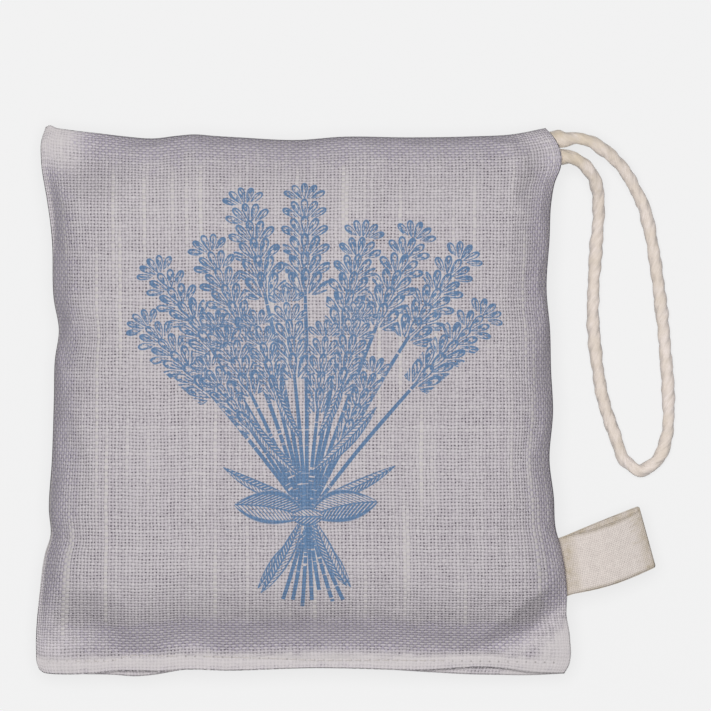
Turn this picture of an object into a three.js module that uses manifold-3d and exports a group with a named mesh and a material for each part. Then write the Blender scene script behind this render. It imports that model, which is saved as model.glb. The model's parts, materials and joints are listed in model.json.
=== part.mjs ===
// A lavender sachet lying on its back: two linen panels sewn together round dried lavender,
// with a cotton cord loop in one top corner and a folded tape tab in the side seam.
// Millimetres. X runs across the bag, Y up its height and Z from the back to the front.
// The origin is the middle of the flat patch that the back panel rests on.
import * as THREE from "three";
import { mergeVertices } from "three/addons/utils/BufferGeometryUtils.js";
import Module from "manifold-3d";

const wasm = await Module();
wasm.setup();

// Bag outline, between the corners
const bagHeight = 108.8;
const bottomWidth = 106.3;
const topWidth = 101;
const topShift = -1.8;
const drawIn = 4;

// Linen and how it is sewn
const clothThickness = 0.5;
const seamGap = 0.3;
const seamAllowance = 7;
const hemDepth = 10;
const closingFlange = 3.4;
const closingInset = 2.4;
const seamInset = 1.4;
const stitchLength = 2;
const threadDiameter = 0.4;
const threadGap = 0.4;
const threadRise = 0.15;
const threadCornerCut = 4;
const threadBottomGap = 9;
const closingEndGap = 1.6;

// How full the bag is, as it lies on a table
const seamLevel = 9.2;
const frontCrown = 12.4;
const backCrown = 8.7;
const cornerDroop = 2;
const crownPower = 3;
const fillClearance = 0.3;
const lipClearance = 0.8;
const fillRings = 2;

// Cotton cord loop, in the side seam near the top corner
const cordDiameter = 2.6;
const cordSpacing = 3.6;
const cordBelowTop = 4;
const cordTail = 6.6;
const fitClearance = 0.3;
const mouthClearance = 0.65;
const mouthMargin = 2;
const mouthBlend = 10;

// Folded cotton tape tab, in the side seam near the bottom corner
const tapeWidth = 11.8;
const tapeThickness = 0.45;
const tabLength = 16.6;
const tabTail = 6.6;
const tabAboveBottom = 21.4;
const tabStandOff = 1.1;
const tabGap = 1.5;
const tabFoldGap = 0.5;
const tabPressed = 1.4;
const tabDroop = 1.6;
const tabAngle = THREE.MathUtils.degToRad(19.7);
const tabFoldLean = THREE.MathUtils.degToRad(15.3);

// Where each edge is drawn in, as [place along the edge from -1 to 1, share of drawIn]
const leftShares = [
  [-1, 0], [-0.8, 0], [-0.6, 0.25], [-0.4, 0.57], [0, 0.72],
  [0.2, 0.9], [0.4, 0.68], [0.6, 0.5], [0.8, 0.12], [1, 0],
];
const rightShares = [
  [-1, 0], [-0.8, -0.03], [-0.6, 0.09], [-0.35, 0.45], [-0.1, 0.36], [0.1, 0.25],
  [0.4, 0.36], [0.6, 0.12], [0.76, -0.22], [0.88, -0.6], [1, 0],
];
const topShares = [
  [-1, 0], [-0.76, 0.3], [-0.6, 0.52], [-0.38, 0.36], [0.02, 0.62],
  [0.4, 0.48], [0.7, 0.42], [0.9, 0.2], [1, 0],
];
const bottomShares = [
  [-1, 0], [-0.7, -0.1], [-0.45, 0.05], [-0.1, 0.15], [0.25, 0.05], [0.6, -0.05], [1, 0],
];

// Grid counts
const panelCells = 18;
const cordSides = 8;
const cordSteps = 72;
const cordEndSteps = 6;
const tailSteps = 3;
const threadSides = 4;
const stepsPerStitch = 2;
const seamThreadSteps = 90;
const threadStationSteps = 24;
const foldSteps = 6;
const tabSteps = 10;

const halfHeight = bagHeight / 2;
const halfWidth = (topWidth + bottomWidth) / 4;
const cordRadius = cordDiameter / 2;
const threadRadius = threadDiameter / 2;

// Points of the cord's free stretch, chosen by hand. Each is the place right of and above the
// middle of its two exits, and the height of the cord's underside over the table.
const cordRoute = [
  [1.7, 2, 5.9], [4, 1.5, 5.5], [7, -0.3, 4.5], [9.3, -2.3, 3.5], [11.6, -5, 2.4], [13.2, -7.9, 1.5],
  [14.5, -10.4, 0.8], [16.6, -18.4, 0], [17.8, -26.4, 0], [18.7, -34.4, 0], [19.4, -42.4, 0],
  [19.9, -50.4, 0], [19.5, -57.8, 0], [17.7, -62.4, 0], [14.2, -64.6, 0], [11.2, -62.6, 0],
  [9.2, -57.6, 0], [6.8, -50.4, 0], [5.5, -42.4, 0], [4.8, -34.4, 0], [5, -26.4, 0], [5.6, -18.4, 0],
  [6, -12.4, 0.9], [5.8, -8.6, 2.3], [5.1, -5.9, 3.8], [3.7, -3.9, 5], [2.1, -2.4, 5.7],
];

// The value of a table of [place, value] pairs at one place, on a smooth curve through them.
function smoothTable(table, place) {
  let i = table.findIndex((pair) => pair[0] >= place);
  i = THREE.MathUtils.clamp(i < 0 ? table.length - 1 : i, 1, table.length - 1);
  const slopeAt = (k) => {
    const before = table[Math.max(k - 1, 0)];
    const after = table[Math.min(k + 1, table.length - 1)];
    return (after[1] - before[1]) / (after[0] - before[0]);
  };
  const [start, end] = [table[i - 1], table[i]];
  const span = end[0] - start[0];
  const t = THREE.MathUtils.clamp((place - start[0]) / span, 0, 1);
  const startShare = (1 + 2 * t) * (1 - t) ** 2;
  const startSlope = t * (1 - t) ** 2 * span;
  const endShare = t * t * (3 - 2 * t);
  const endSlope = t * t * (t - 1) * span;
  return start[1] * startShare + slopeAt(i - 1) * startSlope + end[1] * endShare + slopeAt(i) * endSlope;
}

// The bag's plan. across and up run from -1 to 1 between its edges, and the four edges are
// blended over the inside.
const corner = (across, up) => {
  const half = (up < 0 ? bottomWidth : topWidth) / 2;
  return new THREE.Vector2(across * half + (up < 0 ? 0 : topShift), up * halfHeight);
};
function sideEdge(across, up) {
  const point = corner(across, -1).lerp(corner(across, 1), (up + 1) / 2);
  point.x -= across * drawIn * smoothTable(across < 0 ? leftShares : rightShares, up);
  return point;
}
function endEdge(across, up) {
  const point = corner(-1, up).lerp(corner(1, up), (across + 1) / 2);
  point.y -= up * drawIn * smoothTable(up < 0 ? bottomShares : topShares, across);
  return point;
}
function plan(across, up) {
  const a = (across + 1) / 2;
  const b = (up + 1) / 2;
  const sides = sideEdge(-1, up).lerp(sideEdge(1, up), a);
  const ends = endEdge(across, -1).lerp(endEdge(across, 1), b);
  const flat = corner(-1, -1).lerp(corner(1, -1), a).lerp(corner(-1, 1).lerp(corner(1, 1), a), b);
  return sides.add(ends).sub(flat);
}

// The height of the plane of the seam, which hangs lower at the corners.
const seamHeight = (across, up) => seamLevel - cornerDroop * (across * up) ** 4;

// The crown of a filled panel, from 0 at its foot to 1 in the middle.
const domed = (across, up) => {
  const rise = (place) => Math.max(0, 1 - Math.abs(place) ** crownPower);
  return Math.sqrt(rise(across) * rise(up));
};
const spread = (place, low, high) => THREE.MathUtils.clamp((2 * (place - low)) / (high - low) - 1, -1, 1);
const outerCrown = (across, up) => domed(across, spread(up, closingFlange / halfHeight - 1, 1));
const innerCrown = (across, up) => {
  const side = 1 - clothThickness / halfWidth;
  const low = (closingFlange + clothThickness) / halfHeight - 1;
  return domed(spread(across, -side, side), spread(up, low, 1 - clothThickness / halfHeight));
};

// Places of the cord and of the tab along the right-hand edge
const cordUp = [0, 1].map((k) => 1 - (cordBelowTop - cordSpacing / 2 + k * cordSpacing) / halfHeight);
const cordMiddle = 1 - cordBelowTop / halfHeight;
const cordAxis = new THREE.Vector3(
  sideEdge(1, cordUp[1]).x + cordRadius + fitClearance,
  cordMiddle * halfHeight,
  seamHeight(1, cordMiddle),
);
const tabUp = tabAboveBottom / halfHeight - 1;
const tabHalfUp = tapeWidth / bagHeight;
const tabSeam = sideEdge(1, tabUp + tabHalfUp).sub(sideEdge(1, tabUp - tabHalfUp)).normalize();
const tabAxis = sideEdge(1, tabUp).add(new THREE.Vector2(tabStandOff, 0));
const tabHeight = seamHeight(1, tabUp);
const tabDirection = new THREE.Vector2(Math.cos(tabAngle), Math.sin(tabAngle));

// Half the space between the two panels at a place in plan: a narrow gap along the seam,
// wider where the cord and the tape pass between them.
function seamOpening(point) {
  const around = (exit, direction, length, width, lift) => {
    const place = point.clone().sub(exit);
    const beyondAlong = Math.max(0, -place.dot(direction) - length - mouthMargin);
    const beyondBeside = Math.max(0, Math.abs(place.cross(direction)) - width / 2 - mouthMargin);
    const t = THREE.MathUtils.clamp(1 - Math.hypot(beyondAlong, beyondBeside) / mouthBlend, 0, 1);
    return lift * t * t * (3 - 2 * t);
  };
  const inwards = new THREE.Vector2(1, 0);
  const cord = around(cordAxis, inwards, cordTail, cordSpacing + cordDiameter, cordRadius + mouthClearance);
  const tab = around(tabAxis, tabDirection, tabTail, tapeWidth, tapeThickness + mouthClearance);
  return Math.max(seamGap / 2, cord, tab);
}

// A closed surface under construction: points and triangles.
class Shell {
  constructor() {
    this.points = [];
    this.triangles = [];
  }
  point(x, y, z) {
    return this.points.push(x, y, z) / 3 - 1;
  }
  quad(a, b, c, d) {
    this.triangles.push(a, b, c, a, c, d);
  }
  // A grid of points over the plan, joined into a sheet that faces up, or down if turned is set.
  sheet(acrossLines, upLines, heightAt, turned) {
    const ids = upLines.map((up) =>
      acrossLines.map((across) => {
        const { x, y } = plan(across, up);
        return this.point(x, y, heightAt(across, up));
      }),
    );
    for (let j = 0; j + 1 < upLines.length; j++)
      for (let i = 0; i + 1 < acrossLines.length; i++) {
        const [a, b, c, d] = [ids[j][i], ids[j][i + 1], ids[j + 1][i + 1], ids[j + 1][i]];
        this.quad(a, turned ? d : b, c, turned ? b : d);
      }
    return ids;
  }
  // A closed loop of points over the plan, one for each point round the rim of a grid.
  loop(acrossLines, upLines, heightAt) {
    return rim(upLines.map((up) => acrossLines.map((across) => [across, up]))).map(([across, up]) => {
      const { x, y } = plan(across, up);
      return this.point(x, y, heightAt(across, up));
    });
  }
  // The band between two loops, from the upper one to the lower one.
  band(upper, lower) {
    upper.forEach((id, k) => {
      const next = (k + 1) % upper.length;
      this.quad(id, lower[k], lower[next], upper[next]);
    });
  }
  geometry(turned) {
    if (turned) this.triangles.reverse();
    return new THREE.BufferGeometry()
      .setAttribute("position", new THREE.Float32BufferAttribute(this.points, 3))
      .setIndex(this.triangles);
  }
}

// The entries round the rim of a grid, anticlockwise from its lowest left one.
function rim(grid) {
  const last = grid[0].length - 1;
  const right = grid.slice(1).map((row) => row[last]);
  const top = grid[grid.length - 1].slice(0, last).reverse();
  const left = grid.slice(1, -1).map((row) => row[0]).reverse();
  return [...grid[0], ...right, ...top, ...left];
}

// Grid lines from low to high, closer together towards both ends.
const gridLines = (count, low, high) =>
  Array.from({ length: count + 1 }, (_, i) => {
    const share = (Math.sin(Math.PI * (i / count - 1 / 2)) + 1) / 2;
    return low + (high - low) * share;
  });
const insetLines = (count, side) => gridLines(count, side / halfWidth - 1, 1 - side / halfWidth);
const insetRows = (count, bottom, top) => gridLines(count, bottom / halfHeight - 1, 1 - top / halfHeight);

// The grid that a panel's inner face and the filling share
const innerAcross = insetLines(panelCells, clothThickness);
const innerUp = insetRows(panelCells + 1, closingFlange + clothThickness, clothThickness);

// One linen panel: its domed face, and its edges turned inside along the seam. At the bottom
// the turned edge lies flat against the face, and makes half of the closing flange.
function panel(side, crownHeight) {
  const shell = new Shell();
  const outward = (a, u, rise) => seamHeight(a, u) + side * (seamOpening(plan(a, u)) + rise);
  const rested = (z, least) => (side < 0 ? Math.max(z, least) : z);
  const underside = (a, u) => outward(a, u, 0);
  const turnedTop = (a, u) => outward(a, u, clothThickness);
  const outerFace = (a, u) => rested(outward(a, u, 2 * clothThickness + crownHeight * outerCrown(a, u)), 0);
  const innerFace = (a, u) =>
    rested(outward(a, u, clothThickness + (crownHeight + clothThickness) * innerCrown(a, u)), clothThickness);
  const across = insetLines(panelCells, 0);
  const up = [-1, ...insetRows(panelCells, closingFlange, 0)];
  const turnedAcross = insetLines(panelCells, seamAllowance);
  const turnedUp = insetRows(panelCells + 1, hemDepth, seamAllowance);
  const outer = shell.sheet(across, up, outerFace);
  const edge = shell.loop(across, up, underside);
  const turnedUnder = shell.loop(turnedAcross, turnedUp, underside);
  const turnedOver = shell.loop(turnedAcross, turnedUp, turnedTop);
  const inner = shell.sheet(innerAcross, innerUp, innerFace, true);
  shell.band(rim(outer), edge);
  shell.band(edge, turnedUnder);
  shell.band(turnedUnder, turnedOver);
  shell.band(turnedOver, rim(inner));
  return shell.geometry(side < 0);
}

// The dried lavender: it fills the bag, and the turned-in edges reach into its side.
function filling() {
  const shell = new Shell();
  const across = innerAcross.slice(fillRings, -fillRings);
  const up = innerUp.slice(fillRings, -fillRings);
  const reach = seamAllowance + lipClearance;
  const grooveAcross = insetLines(across.length - 1, reach);
  const grooveUp = insetRows(up.length - 1, hemDepth + lipClearance, reach);
  const outward = (a, u, side, rise) =>
    seamHeight(a, u) + side * (seamOpening(plan(a, u)) + clothThickness + rise);
  const face = (a, u, side, crownHeight) =>
    outward(a, u, side, (crownHeight + clothThickness) * innerCrown(a, u) - fillClearance);
  const lip = (side) => (a, u) => outward(a, u, side, lipClearance);
  const rest = clothThickness + fillClearance;
  const front = shell.sheet(across, up, (a, u) => face(a, u, 1, frontCrown));
  const back = shell.sheet(across, up, (a, u) => Math.max(rest, face(a, u, -1, backCrown)), true);
  const loops = [
    rim(front),
    shell.loop(across, up, lip(1)),
    shell.loop(grooveAcross, grooveUp, lip(1)),
    shell.loop(grooveAcross, grooveUp, lip(-1)),
    shell.loop(across, up, lip(-1)),
    rim(back),
  ];
  loops.slice(1).forEach((loop, k) => shell.band(loops[k], loop));
  return shell.geometry(false);
}

// A round tube along a curve, as a cord or a thread.
function tube(points, radius, sides, steps) {
  const section = new THREE.Shape();
  section.setFromPoints(
    Array.from({ length: sides }, (_, k) => {
      const angle = (2 * Math.PI * k) / sides;
      return new THREE.Vector2(radius * Math.cos(angle), radius * Math.sin(angle));
    }),
  );
  const extrudePath = new THREE.CatmullRomCurve3(points);
  return new THREE.ExtrudeGeometry(section, { steps, extrudePath, bevelEnabled: false });
}

// A geometry as a solid, for joining, and a solid as a geometry.
function solidOf(geometry) {
  const bare = geometry.clone();
  bare.deleteAttribute("normal");
  bare.deleteAttribute("uv");
  const merged = mergeVertices(bare);
  const vertProperties = merged.attributes.position.array;
  const triVerts = new Uint32Array(merged.index.array);
  return new wasm.Manifold(new wasm.Mesh({ numProp: 3, vertProperties, triVerts }));
}
function geometryOf(solid) {
  const mesh = solid.getMesh();
  return new THREE.BufferGeometry()
    .setAttribute("position", new THREE.BufferAttribute(mesh.vertProperties, 3))
    .setIndex(new THREE.BufferAttribute(mesh.triVerts, 1));
}

// One end of the cord, from inside the bag to just outside the edge.
function cordEnd(up) {
  const points = Array.from({ length: tailSteps }, (_, k) => {
    const across = 1 - ((1 - k / tailSteps) * cordTail) / halfWidth;
    const { x, y } = plan(across, up);
    return new THREE.Vector3(x, y, seamHeight(across, up));
  });
  points.push(new THREE.Vector3(cordAxis.x - cordRadius - fitClearance, up * halfHeight, cordAxis.z));
  return tube(points, cordRadius, cordSides, cordEndSteps);
}

// The free stretch of the cord. Each end is a ball on the line that the loop swings about.
function freeCord() {
  const exits = cordUp.map((up) => new THREE.Vector3(cordAxis.x, up * halfHeight, cordAxis.z));
  const route = cordRoute.map(
    ([right, above, lift]) => new THREE.Vector3(cordAxis.x + right, cordAxis.y + above, lift + cordRadius),
  );
  const points = [exits[0], ...route, exits[1]];
  console.log("cord's free length", new THREE.CatmullRomCurve3(points).getLength().toFixed(1), "mm");
  const body = solidOf(tube(points, cordRadius, cordSides, cordSteps));
  const ball = new THREE.SphereGeometry(cordRadius, 2 * cordSides, cordSides);
  const balls = exits.map((exit) => solidOf(ball.clone().translate(exit.x, exit.y, exit.z)));
  return geometryOf(balls.reduce((joined, end) => joined.add(end), body));
}

// Places on the tab: along runs from its root to its fold, and beside across the tape.
const tabFoldDirection = new THREE.Vector2(-Math.sin(tabFoldLean), Math.cos(tabFoldLean));
function tabPlace(along, beside) {
  const root = tabAxis.clone().addScaledVector(tabSeam, beside);
  const fold = tabAxis.clone().addScaledVector(tabDirection, tabLength);
  fold.addScaledVector(tabFoldDirection, beside);
  return root.lerp(fold, along / tabLength);
}

// The tape folded over, seen from its side: pressed together at the root, round at the fold,
// with its two layers a little apart between.
function tabProfile() {
  const foldRadius = tabFoldGap / 2 + tapeThickness;
  const bendAt = tabLength - foldRadius;
  const halfGap = (along) => {
    const share = THREE.MathUtils.clamp((along - tabPressed) / (bendAt - tabPressed), 0, 1);
    return (tabGap / 2) * Math.sin(Math.PI * share) + (tabFoldGap / 2) * share;
  };
  const turn = (x, radius, from, to) =>
    Array.from({ length: foldSteps + 1 }, (_, k) => {
      const angle = from + ((to - from) * k) / foldSteps;
      return new THREE.Vector2(x + radius * Math.cos(angle), radius * Math.sin(angle));
    });
  const run = (side, cover, low, high) =>
    Array.from({ length: tabSteps - 1 }, (_, k) => {
      const along = low + ((high - low) * (k + 1)) / tabSteps;
      return new THREE.Vector2(along, side * (halfGap(along) + cover));
    });
  const quarter = Math.PI / 2;
  const outline = [
    ...turn(0, tapeThickness, 3 * quarter, quarter),
    ...run(1, tapeThickness, 0, bendAt),
    ...turn(bendAt, foldRadius, quarter, -quarter),
    ...run(-1, tapeThickness, 0, bendAt).reverse(),
  ];
  const between = [
    new THREE.Vector2(tabPressed, 0),
    ...run(1, 0, tabPressed, bendAt),
    ...turn(bendAt, tabFoldGap / 2, quarter, -quarter),
    ...run(-1, 0, tabPressed, bendAt).reverse(),
  ];
  const shape = new THREE.Shape(outline);
  shape.holes.push(new THREE.Path(between.reverse()));
  return shape;
}
function tab() {
  const geometry = new THREE.ExtrudeGeometry(tabProfile(), { depth: tapeWidth, bevelEnabled: false });
  const position = geometry.attributes.position;
  for (let i = 0; i < position.count; i++) {
    const [along, height, beside] = [position.getX(i), position.getY(i), position.getZ(i)];
    const { x, y } = tabPlace(along, tapeWidth / 2 - beside);
    const droop = tabDroop * Math.max(0, along / tabLength) ** 2;
    position.setXYZ(i, x, y, tabHeight + height - droop);
  }
  return geometry;
}

// The two ends of the tape, flat together between the panels.
function tabSewnEnd() {
  const middle = -(tapeThickness + fitClearance) - tabTail / 2;
  const plate = new THREE.BoxGeometry(tabTail, tapeWidth, 2 * tapeThickness);
  const position = plate.attributes.position;
  for (let i = 0; i < position.count; i++) {
    const { x, y } = tabPlace(middle + position.getX(i), position.getY(i));
    position.setXYZ(i, x, y, seamHeight(x / halfWidth, y / halfHeight) + position.getZ(i));
  }
  return plate;
}

// The thread of the seam round three sides, on the turned-in edge of one panel.
function seamThread(side) {
  const reachAcross = 1 - seamInset / halfWidth;
  const reachUp = 1 - seamInset / halfHeight;
  const cutAcross = 1 - threadCornerCut / halfWidth;
  const cutUp = 1 - threadCornerCut / halfHeight;
  const low = threadBottomGap / halfHeight - 1;
  const stations = [
    [-reachAcross, low], [-reachAcross, cutUp], [-cutAcross, reachUp],
    [cutAcross, reachUp], [reachAcross, cutUp], [reachAcross, low],
  ];
  const points = stations.slice(1).flatMap(([across, up], k) => {
    const [fromAcross, fromUp] = stations[k];
    return Array.from({ length: threadStationSteps }, (_, i) => {
      const share = i / threadStationSteps;
      return [fromAcross + (across - fromAcross) * share, fromUp + (up - fromUp) * share];
    });
  });
  const path = [...points, stations[stations.length - 1]].map(([across, up]) => {
    const point = plan(across, up);
    const rise = seamOpening(point) + clothThickness + threadGap + threadRadius;
    return new THREE.Vector3(point.x, point.y, seamHeight(across, up) + side * rise);
  });
  return tube(path, threadRadius, threadSides, seamThreadSteps);
}

// The thread that closes the bottom: it rises between its needle holes, on one face of the flange.
function closingThread(side) {
  const up = closingInset / halfHeight - 1;
  const reach = 1 - closingEndGap / halfWidth;
  const stitches = Math.round((2 * reach * halfWidth) / stitchLength);
  const count = stitches * stepsPerStitch;
  const path = Array.from({ length: count + 1 }, (_, k) => {
    const across = reach * ((2 * k) / count - 1);
    const point = plan(across, up);
    const wave = threadRise * Math.sin((Math.PI * k) / stepsPerStitch) ** 2;
    const rise = seamOpening(point) + 2 * clothThickness + threadGap + threadRadius + wave;
    return new THREE.Vector3(point.x, point.y, seamHeight(across, up) + side * rise);
  });
  return tube(path, threadRadius, threadSides, count);
}

const cloth = new THREE.MeshStandardMaterial({ color: 0xb9b0b8, roughness: 0.95, metalness: 0 });
const lavender = new THREE.MeshStandardMaterial({ color: 0x6d6485, roughness: 1, metalness: 0 });
const cotton = new THREE.MeshStandardMaterial({ color: 0xd9cdc1, roughness: 0.95, metalness: 0 });
const tape = new THREE.MeshStandardMaterial({ color: 0xd8ccbd, roughness: 0.95, metalness: 0 });
const thread = new THREE.MeshStandardMaterial({ color: 0xcfcac4, roughness: 0.9, metalness: 0 });

const sachet = new THREE.Group();
const add = (name, geometry, material) => {
  const mesh = new THREE.Mesh(geometry, material);
  mesh.name = name;
  sachet.add(mesh);
};

add("front_panel", panel(1, frontCrown), cloth);
add("back_panel", panel(-1, backCrown), cloth);
add("lavender_filling", filling(), lavender);
add("hanging_cord", freeCord(), cotton);
add("cord_tail_upper", cordEnd(cordUp[0]), cotton);
add("cord_tail_lower", cordEnd(cordUp[1]), cotton);
add("label_tab", tab(), tape);
add("label_tab_sewn_end", tabSewnEnd(), tape);
add("seam_needle_thread", seamThread(1), thread);
add("seam_bobbin_thread", seamThread(-1), thread);
add("closing_needle_thread", closingThread(1), thread);
add("closing_bobbin_thread", closingThread(-1), thread);

export default sachet;
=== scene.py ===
import json
import math

import bpy
import numpy as np
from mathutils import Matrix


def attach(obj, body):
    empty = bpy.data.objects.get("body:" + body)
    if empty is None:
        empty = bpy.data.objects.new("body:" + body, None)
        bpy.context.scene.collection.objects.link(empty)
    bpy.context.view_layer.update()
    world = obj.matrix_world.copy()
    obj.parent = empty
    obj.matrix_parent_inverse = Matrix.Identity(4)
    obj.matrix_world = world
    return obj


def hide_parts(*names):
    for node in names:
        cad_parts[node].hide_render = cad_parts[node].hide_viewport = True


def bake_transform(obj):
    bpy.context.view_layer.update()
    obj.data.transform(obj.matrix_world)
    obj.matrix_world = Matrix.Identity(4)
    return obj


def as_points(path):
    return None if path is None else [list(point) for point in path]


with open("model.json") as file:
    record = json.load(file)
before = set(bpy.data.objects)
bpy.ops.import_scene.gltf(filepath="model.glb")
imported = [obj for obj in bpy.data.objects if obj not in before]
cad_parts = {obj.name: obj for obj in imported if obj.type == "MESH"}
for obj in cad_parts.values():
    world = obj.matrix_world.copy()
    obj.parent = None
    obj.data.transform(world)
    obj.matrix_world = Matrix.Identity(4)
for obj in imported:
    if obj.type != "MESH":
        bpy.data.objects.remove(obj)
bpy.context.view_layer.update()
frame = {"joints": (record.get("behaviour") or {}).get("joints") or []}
mm = 0.001

# Camera
# The view is square on to the front of the bag, from far enough away that the sides barely show.
# The frame is 142 mm wide at the height of the seam, worked out from the tape and the cord.

frame_width = 142.2 * mm
frame_middle = (10.4 * mm, 8.9 * mm)
seam_level = 9.2 * mm
camera_distance = 2.0
camera_data = bpy.data.cameras.new("camera")
camera_data.sensor_width = 36
camera_data.lens = camera_data.sensor_width * camera_distance / frame_width
camera = bpy.data.objects.new("camera", camera_data)
camera.location = (*frame_middle, seam_level + camera_distance)
bpy.context.scene.collection.objects.link(camera)
bpy.context.scene.camera = camera

# Hanging cord
# A 16 cm length of soft cotton cord, three slack strands twisted together. It is folded double,
# and its two ends are caught side by side in the side seam, just below the top corner.

cord_diameter = 2.6 * mm
cord_spacing = 3.6 * mm
cord_tail = 6.6 * mm
cord_lay = 10.4 * mm
cord_strands = 3
strand_offset = 0.27 * mm
strand_radius = 1 * mm
cord_ring_step = 0.3 * mm
cord_ring_points = 36
cord_slack_end = 1.6 * mm
cord_off_table = 0.22 * mm
loop_spread = 0.5 * mm
seam_squeeze = 0.4
fuzz_share = 0.12
end_taper = 0.3
loop_axis = np.array(next(j for j in frame["joints"] if j["name"] == "loop_lift")["pos_m"])

# Each point is the place right of and above the middle of the two exits, in metres, and how far
# the cord is lifted off the table there.
cord_route = [
    (0.0017, 0.002, 0.0059), (0.004, 0.0015, 0.0055), (0.007, -0.0003, 0.0045),
    (0.0093, -0.0023, 0.0035), (0.0116, -0.005, 0.0024), (0.0132, -0.0079, 0.0015),
    (0.0145, -0.0104, 0.0008), (0.0166, -0.0184, 0), (0.0178, -0.0264, 0), (0.0187, -0.0344, 0),
    (0.0194, -0.0424, 0), (0.0199, -0.0504, 0), (0.0195, -0.0578, 0), (0.0177, -0.0624, 0),
    (0.0142, -0.0646, 0), (0.0112, -0.0626, 0), (0.0092, -0.0576, 0), (0.0068, -0.0504, 0),
    (0.0055, -0.0424, 0), (0.0048, -0.0344, 0), (0.005, -0.0264, 0), (0.0056, -0.0184, 0),
    (0.006, -0.0124, 0.0009), (0.0058, -0.0086, 0.0023), (0.0051, -0.0059, 0.0038),
    (0.0037, -0.0039, 0.005), (0.0021, -0.0024, 0.0057),
]


def walked_along(points):
    """How far along a line each of its points is."""
    return np.concatenate([[0], np.cumsum(np.linalg.norm(np.diff(points, axis=0), axis=1))])


def smooth_line(points, shares):
    """Places on a smooth curve through points, at shares of its length from 0 to 1."""
    points = np.array(points, float)
    length = walked_along(points)
    knots = length / length[-1]
    slopes = np.gradient(points, knots, axis=0)
    shares = np.clip(np.asarray(shares, float), 0, 1)
    k = np.clip(np.searchsorted(knots, shares, side="right") - 1, 0, len(knots) - 2)
    span = (knots[k + 1] - knots[k])[..., None]
    t = (shares[..., None] - knots[k][..., None]) / span
    start = (1 + 2 * t) * (1 - t) ** 2 * points[k] + t * (1 - t) ** 2 * span * slopes[k]
    end = t * t * (3 - 2 * t) * points[k + 1] + t * t * (t - 1) * span * slopes[k + 1]
    return start + end


def mesh_object(name, points, faces, maps=None):
    """A mesh of points and faces, with its UV maps and attributes given for each point."""
    mesh = bpy.data.meshes.new(name)
    mesh.from_pydata(np.asarray(points).tolist(), [], [list(map(int, f)) for f in faces])
    for key, values in (maps or {}).items():
        if np.ndim(values) == 2:
            layer = mesh.uv_layers.new(name=key)
            corner_points = np.zeros(len(mesh.loops), int)
            mesh.loops.foreach_get("vertex_index", corner_points)
            layer.data.foreach_set("uv", np.asarray(values, np.float32)[corner_points].ravel())
        else:
            layer = mesh.attributes.new(key, "FLOAT", "POINT")
            layer.data.foreach_set("value", np.asarray(values, np.float32))
    mesh.polygons.foreach_set("use_smooth", np.ones(len(mesh.polygons), bool))
    mesh.update()
    made = bpy.data.objects.new(name, mesh)
    bpy.context.scene.collection.objects.link(made)
    return made


def ring_faces(rings, count, first=0):
    """The faces of a tube of rings of count points each, numbered from first."""
    k, i = np.meshgrid(np.arange(rings - 1), np.arange(count), indexing="ij")
    a = first + k * count + i
    b = first + k * count + (i + 1) % count
    return np.stack([a, b, b + count, a + count], axis=-1).reshape(-1, 4)


exits = loop_axis + np.array([[0, cord_spacing / 2, 0], [0, -cord_spacing / 2, 0]])
tail_steps = np.linspace(1, 0, 4)[:-1, None]
tail_lean = np.array([[-cord_tail - cord_slack_end, -0.1 * mm, 0.5 * mm]])
upper_tail = exits[0] + tail_steps * tail_lean
lower_tail = (exits[1] + tail_steps * tail_lean * [1, -1, 1])[::-1]
free_points = loop_axis * [1, 1, 0] + np.array(cord_route) + [0, 0, cord_diameter / 2 + cord_off_table]
free_points[:, 0] += loop_spread * np.sin(np.linspace(0, math.pi, len(free_points))) ** 0.5
cord_points = np.vstack([upper_tail, exits[:1], free_points, exits[1:], lower_tail])
cord_length = walked_along(smooth_line(cord_points, np.linspace(0, 1, 2000)))[-1]
cord_rings = int(cord_length / cord_ring_step)
cord_path = smooth_line(cord_points, np.linspace(0, 1, cord_rings))


def swept(path, outline):
    """Rings of points round a path. outline gives each ring's points, across and up."""
    ahead = np.gradient(path, axis=0)
    ahead /= np.linalg.norm(ahead, axis=1, keepdims=True)
    across = np.zeros_like(path)
    across[0] = np.cross(ahead[0], [0, 0, 1])
    for k in range(1, len(path)):
        turned = across[k - 1] - ahead[k] * across[k - 1].dot(ahead[k])
        across[k] = turned / np.linalg.norm(turned)
    across[0] /= np.linalg.norm(across[0])
    up = np.cross(across, ahead)
    return path[:, None] + outline[..., :1] * across[:, None] + outline[..., 1:] * up[:, None]


def bell(distance, reach):
    """1 at no distance, falling smoothly to nothing over about twice the reach."""
    return np.exp(-((distance / reach) ** 2))


# The twist is looser in some places than in others, the cord is a little thicker and thinner along
# its length, and it is spread out where it is pressed in the seam.
along_cord = walked_along(cord_path)
lay_turns = along_cord / cord_lay + 0.05 * np.sin(along_cord / (9 * mm))
lay_turns += 0.04 * np.sin(along_cord / (4.1 * mm))
ring_angle = np.linspace(0, 2 * math.pi, cord_ring_points, endpoint=False)
strand_angle = (ring_angle[None] + 2 * math.pi * lay_turns[:, None]) % (2 * math.pi / cord_strands)
strand_angle -= math.pi / cord_strands
groove_radius = strand_offset * np.cos(strand_angle) + np.sqrt(
    strand_radius**2 - (strand_offset * np.sin(strand_angle)) ** 2
)
slack = 1 + 0.05 * np.sin(along_cord / (1.1 * mm) + 2 * np.sin(along_cord / (4.7 * mm)))
slack += 0.04 * np.sin(along_cord / (2.6 * mm) + 1)
for from_end in (along_cord, along_cord[::-1]):
    slack += seam_squeeze * bell(from_end - cord_tail + 0.8 * mm, 3 * mm)

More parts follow.
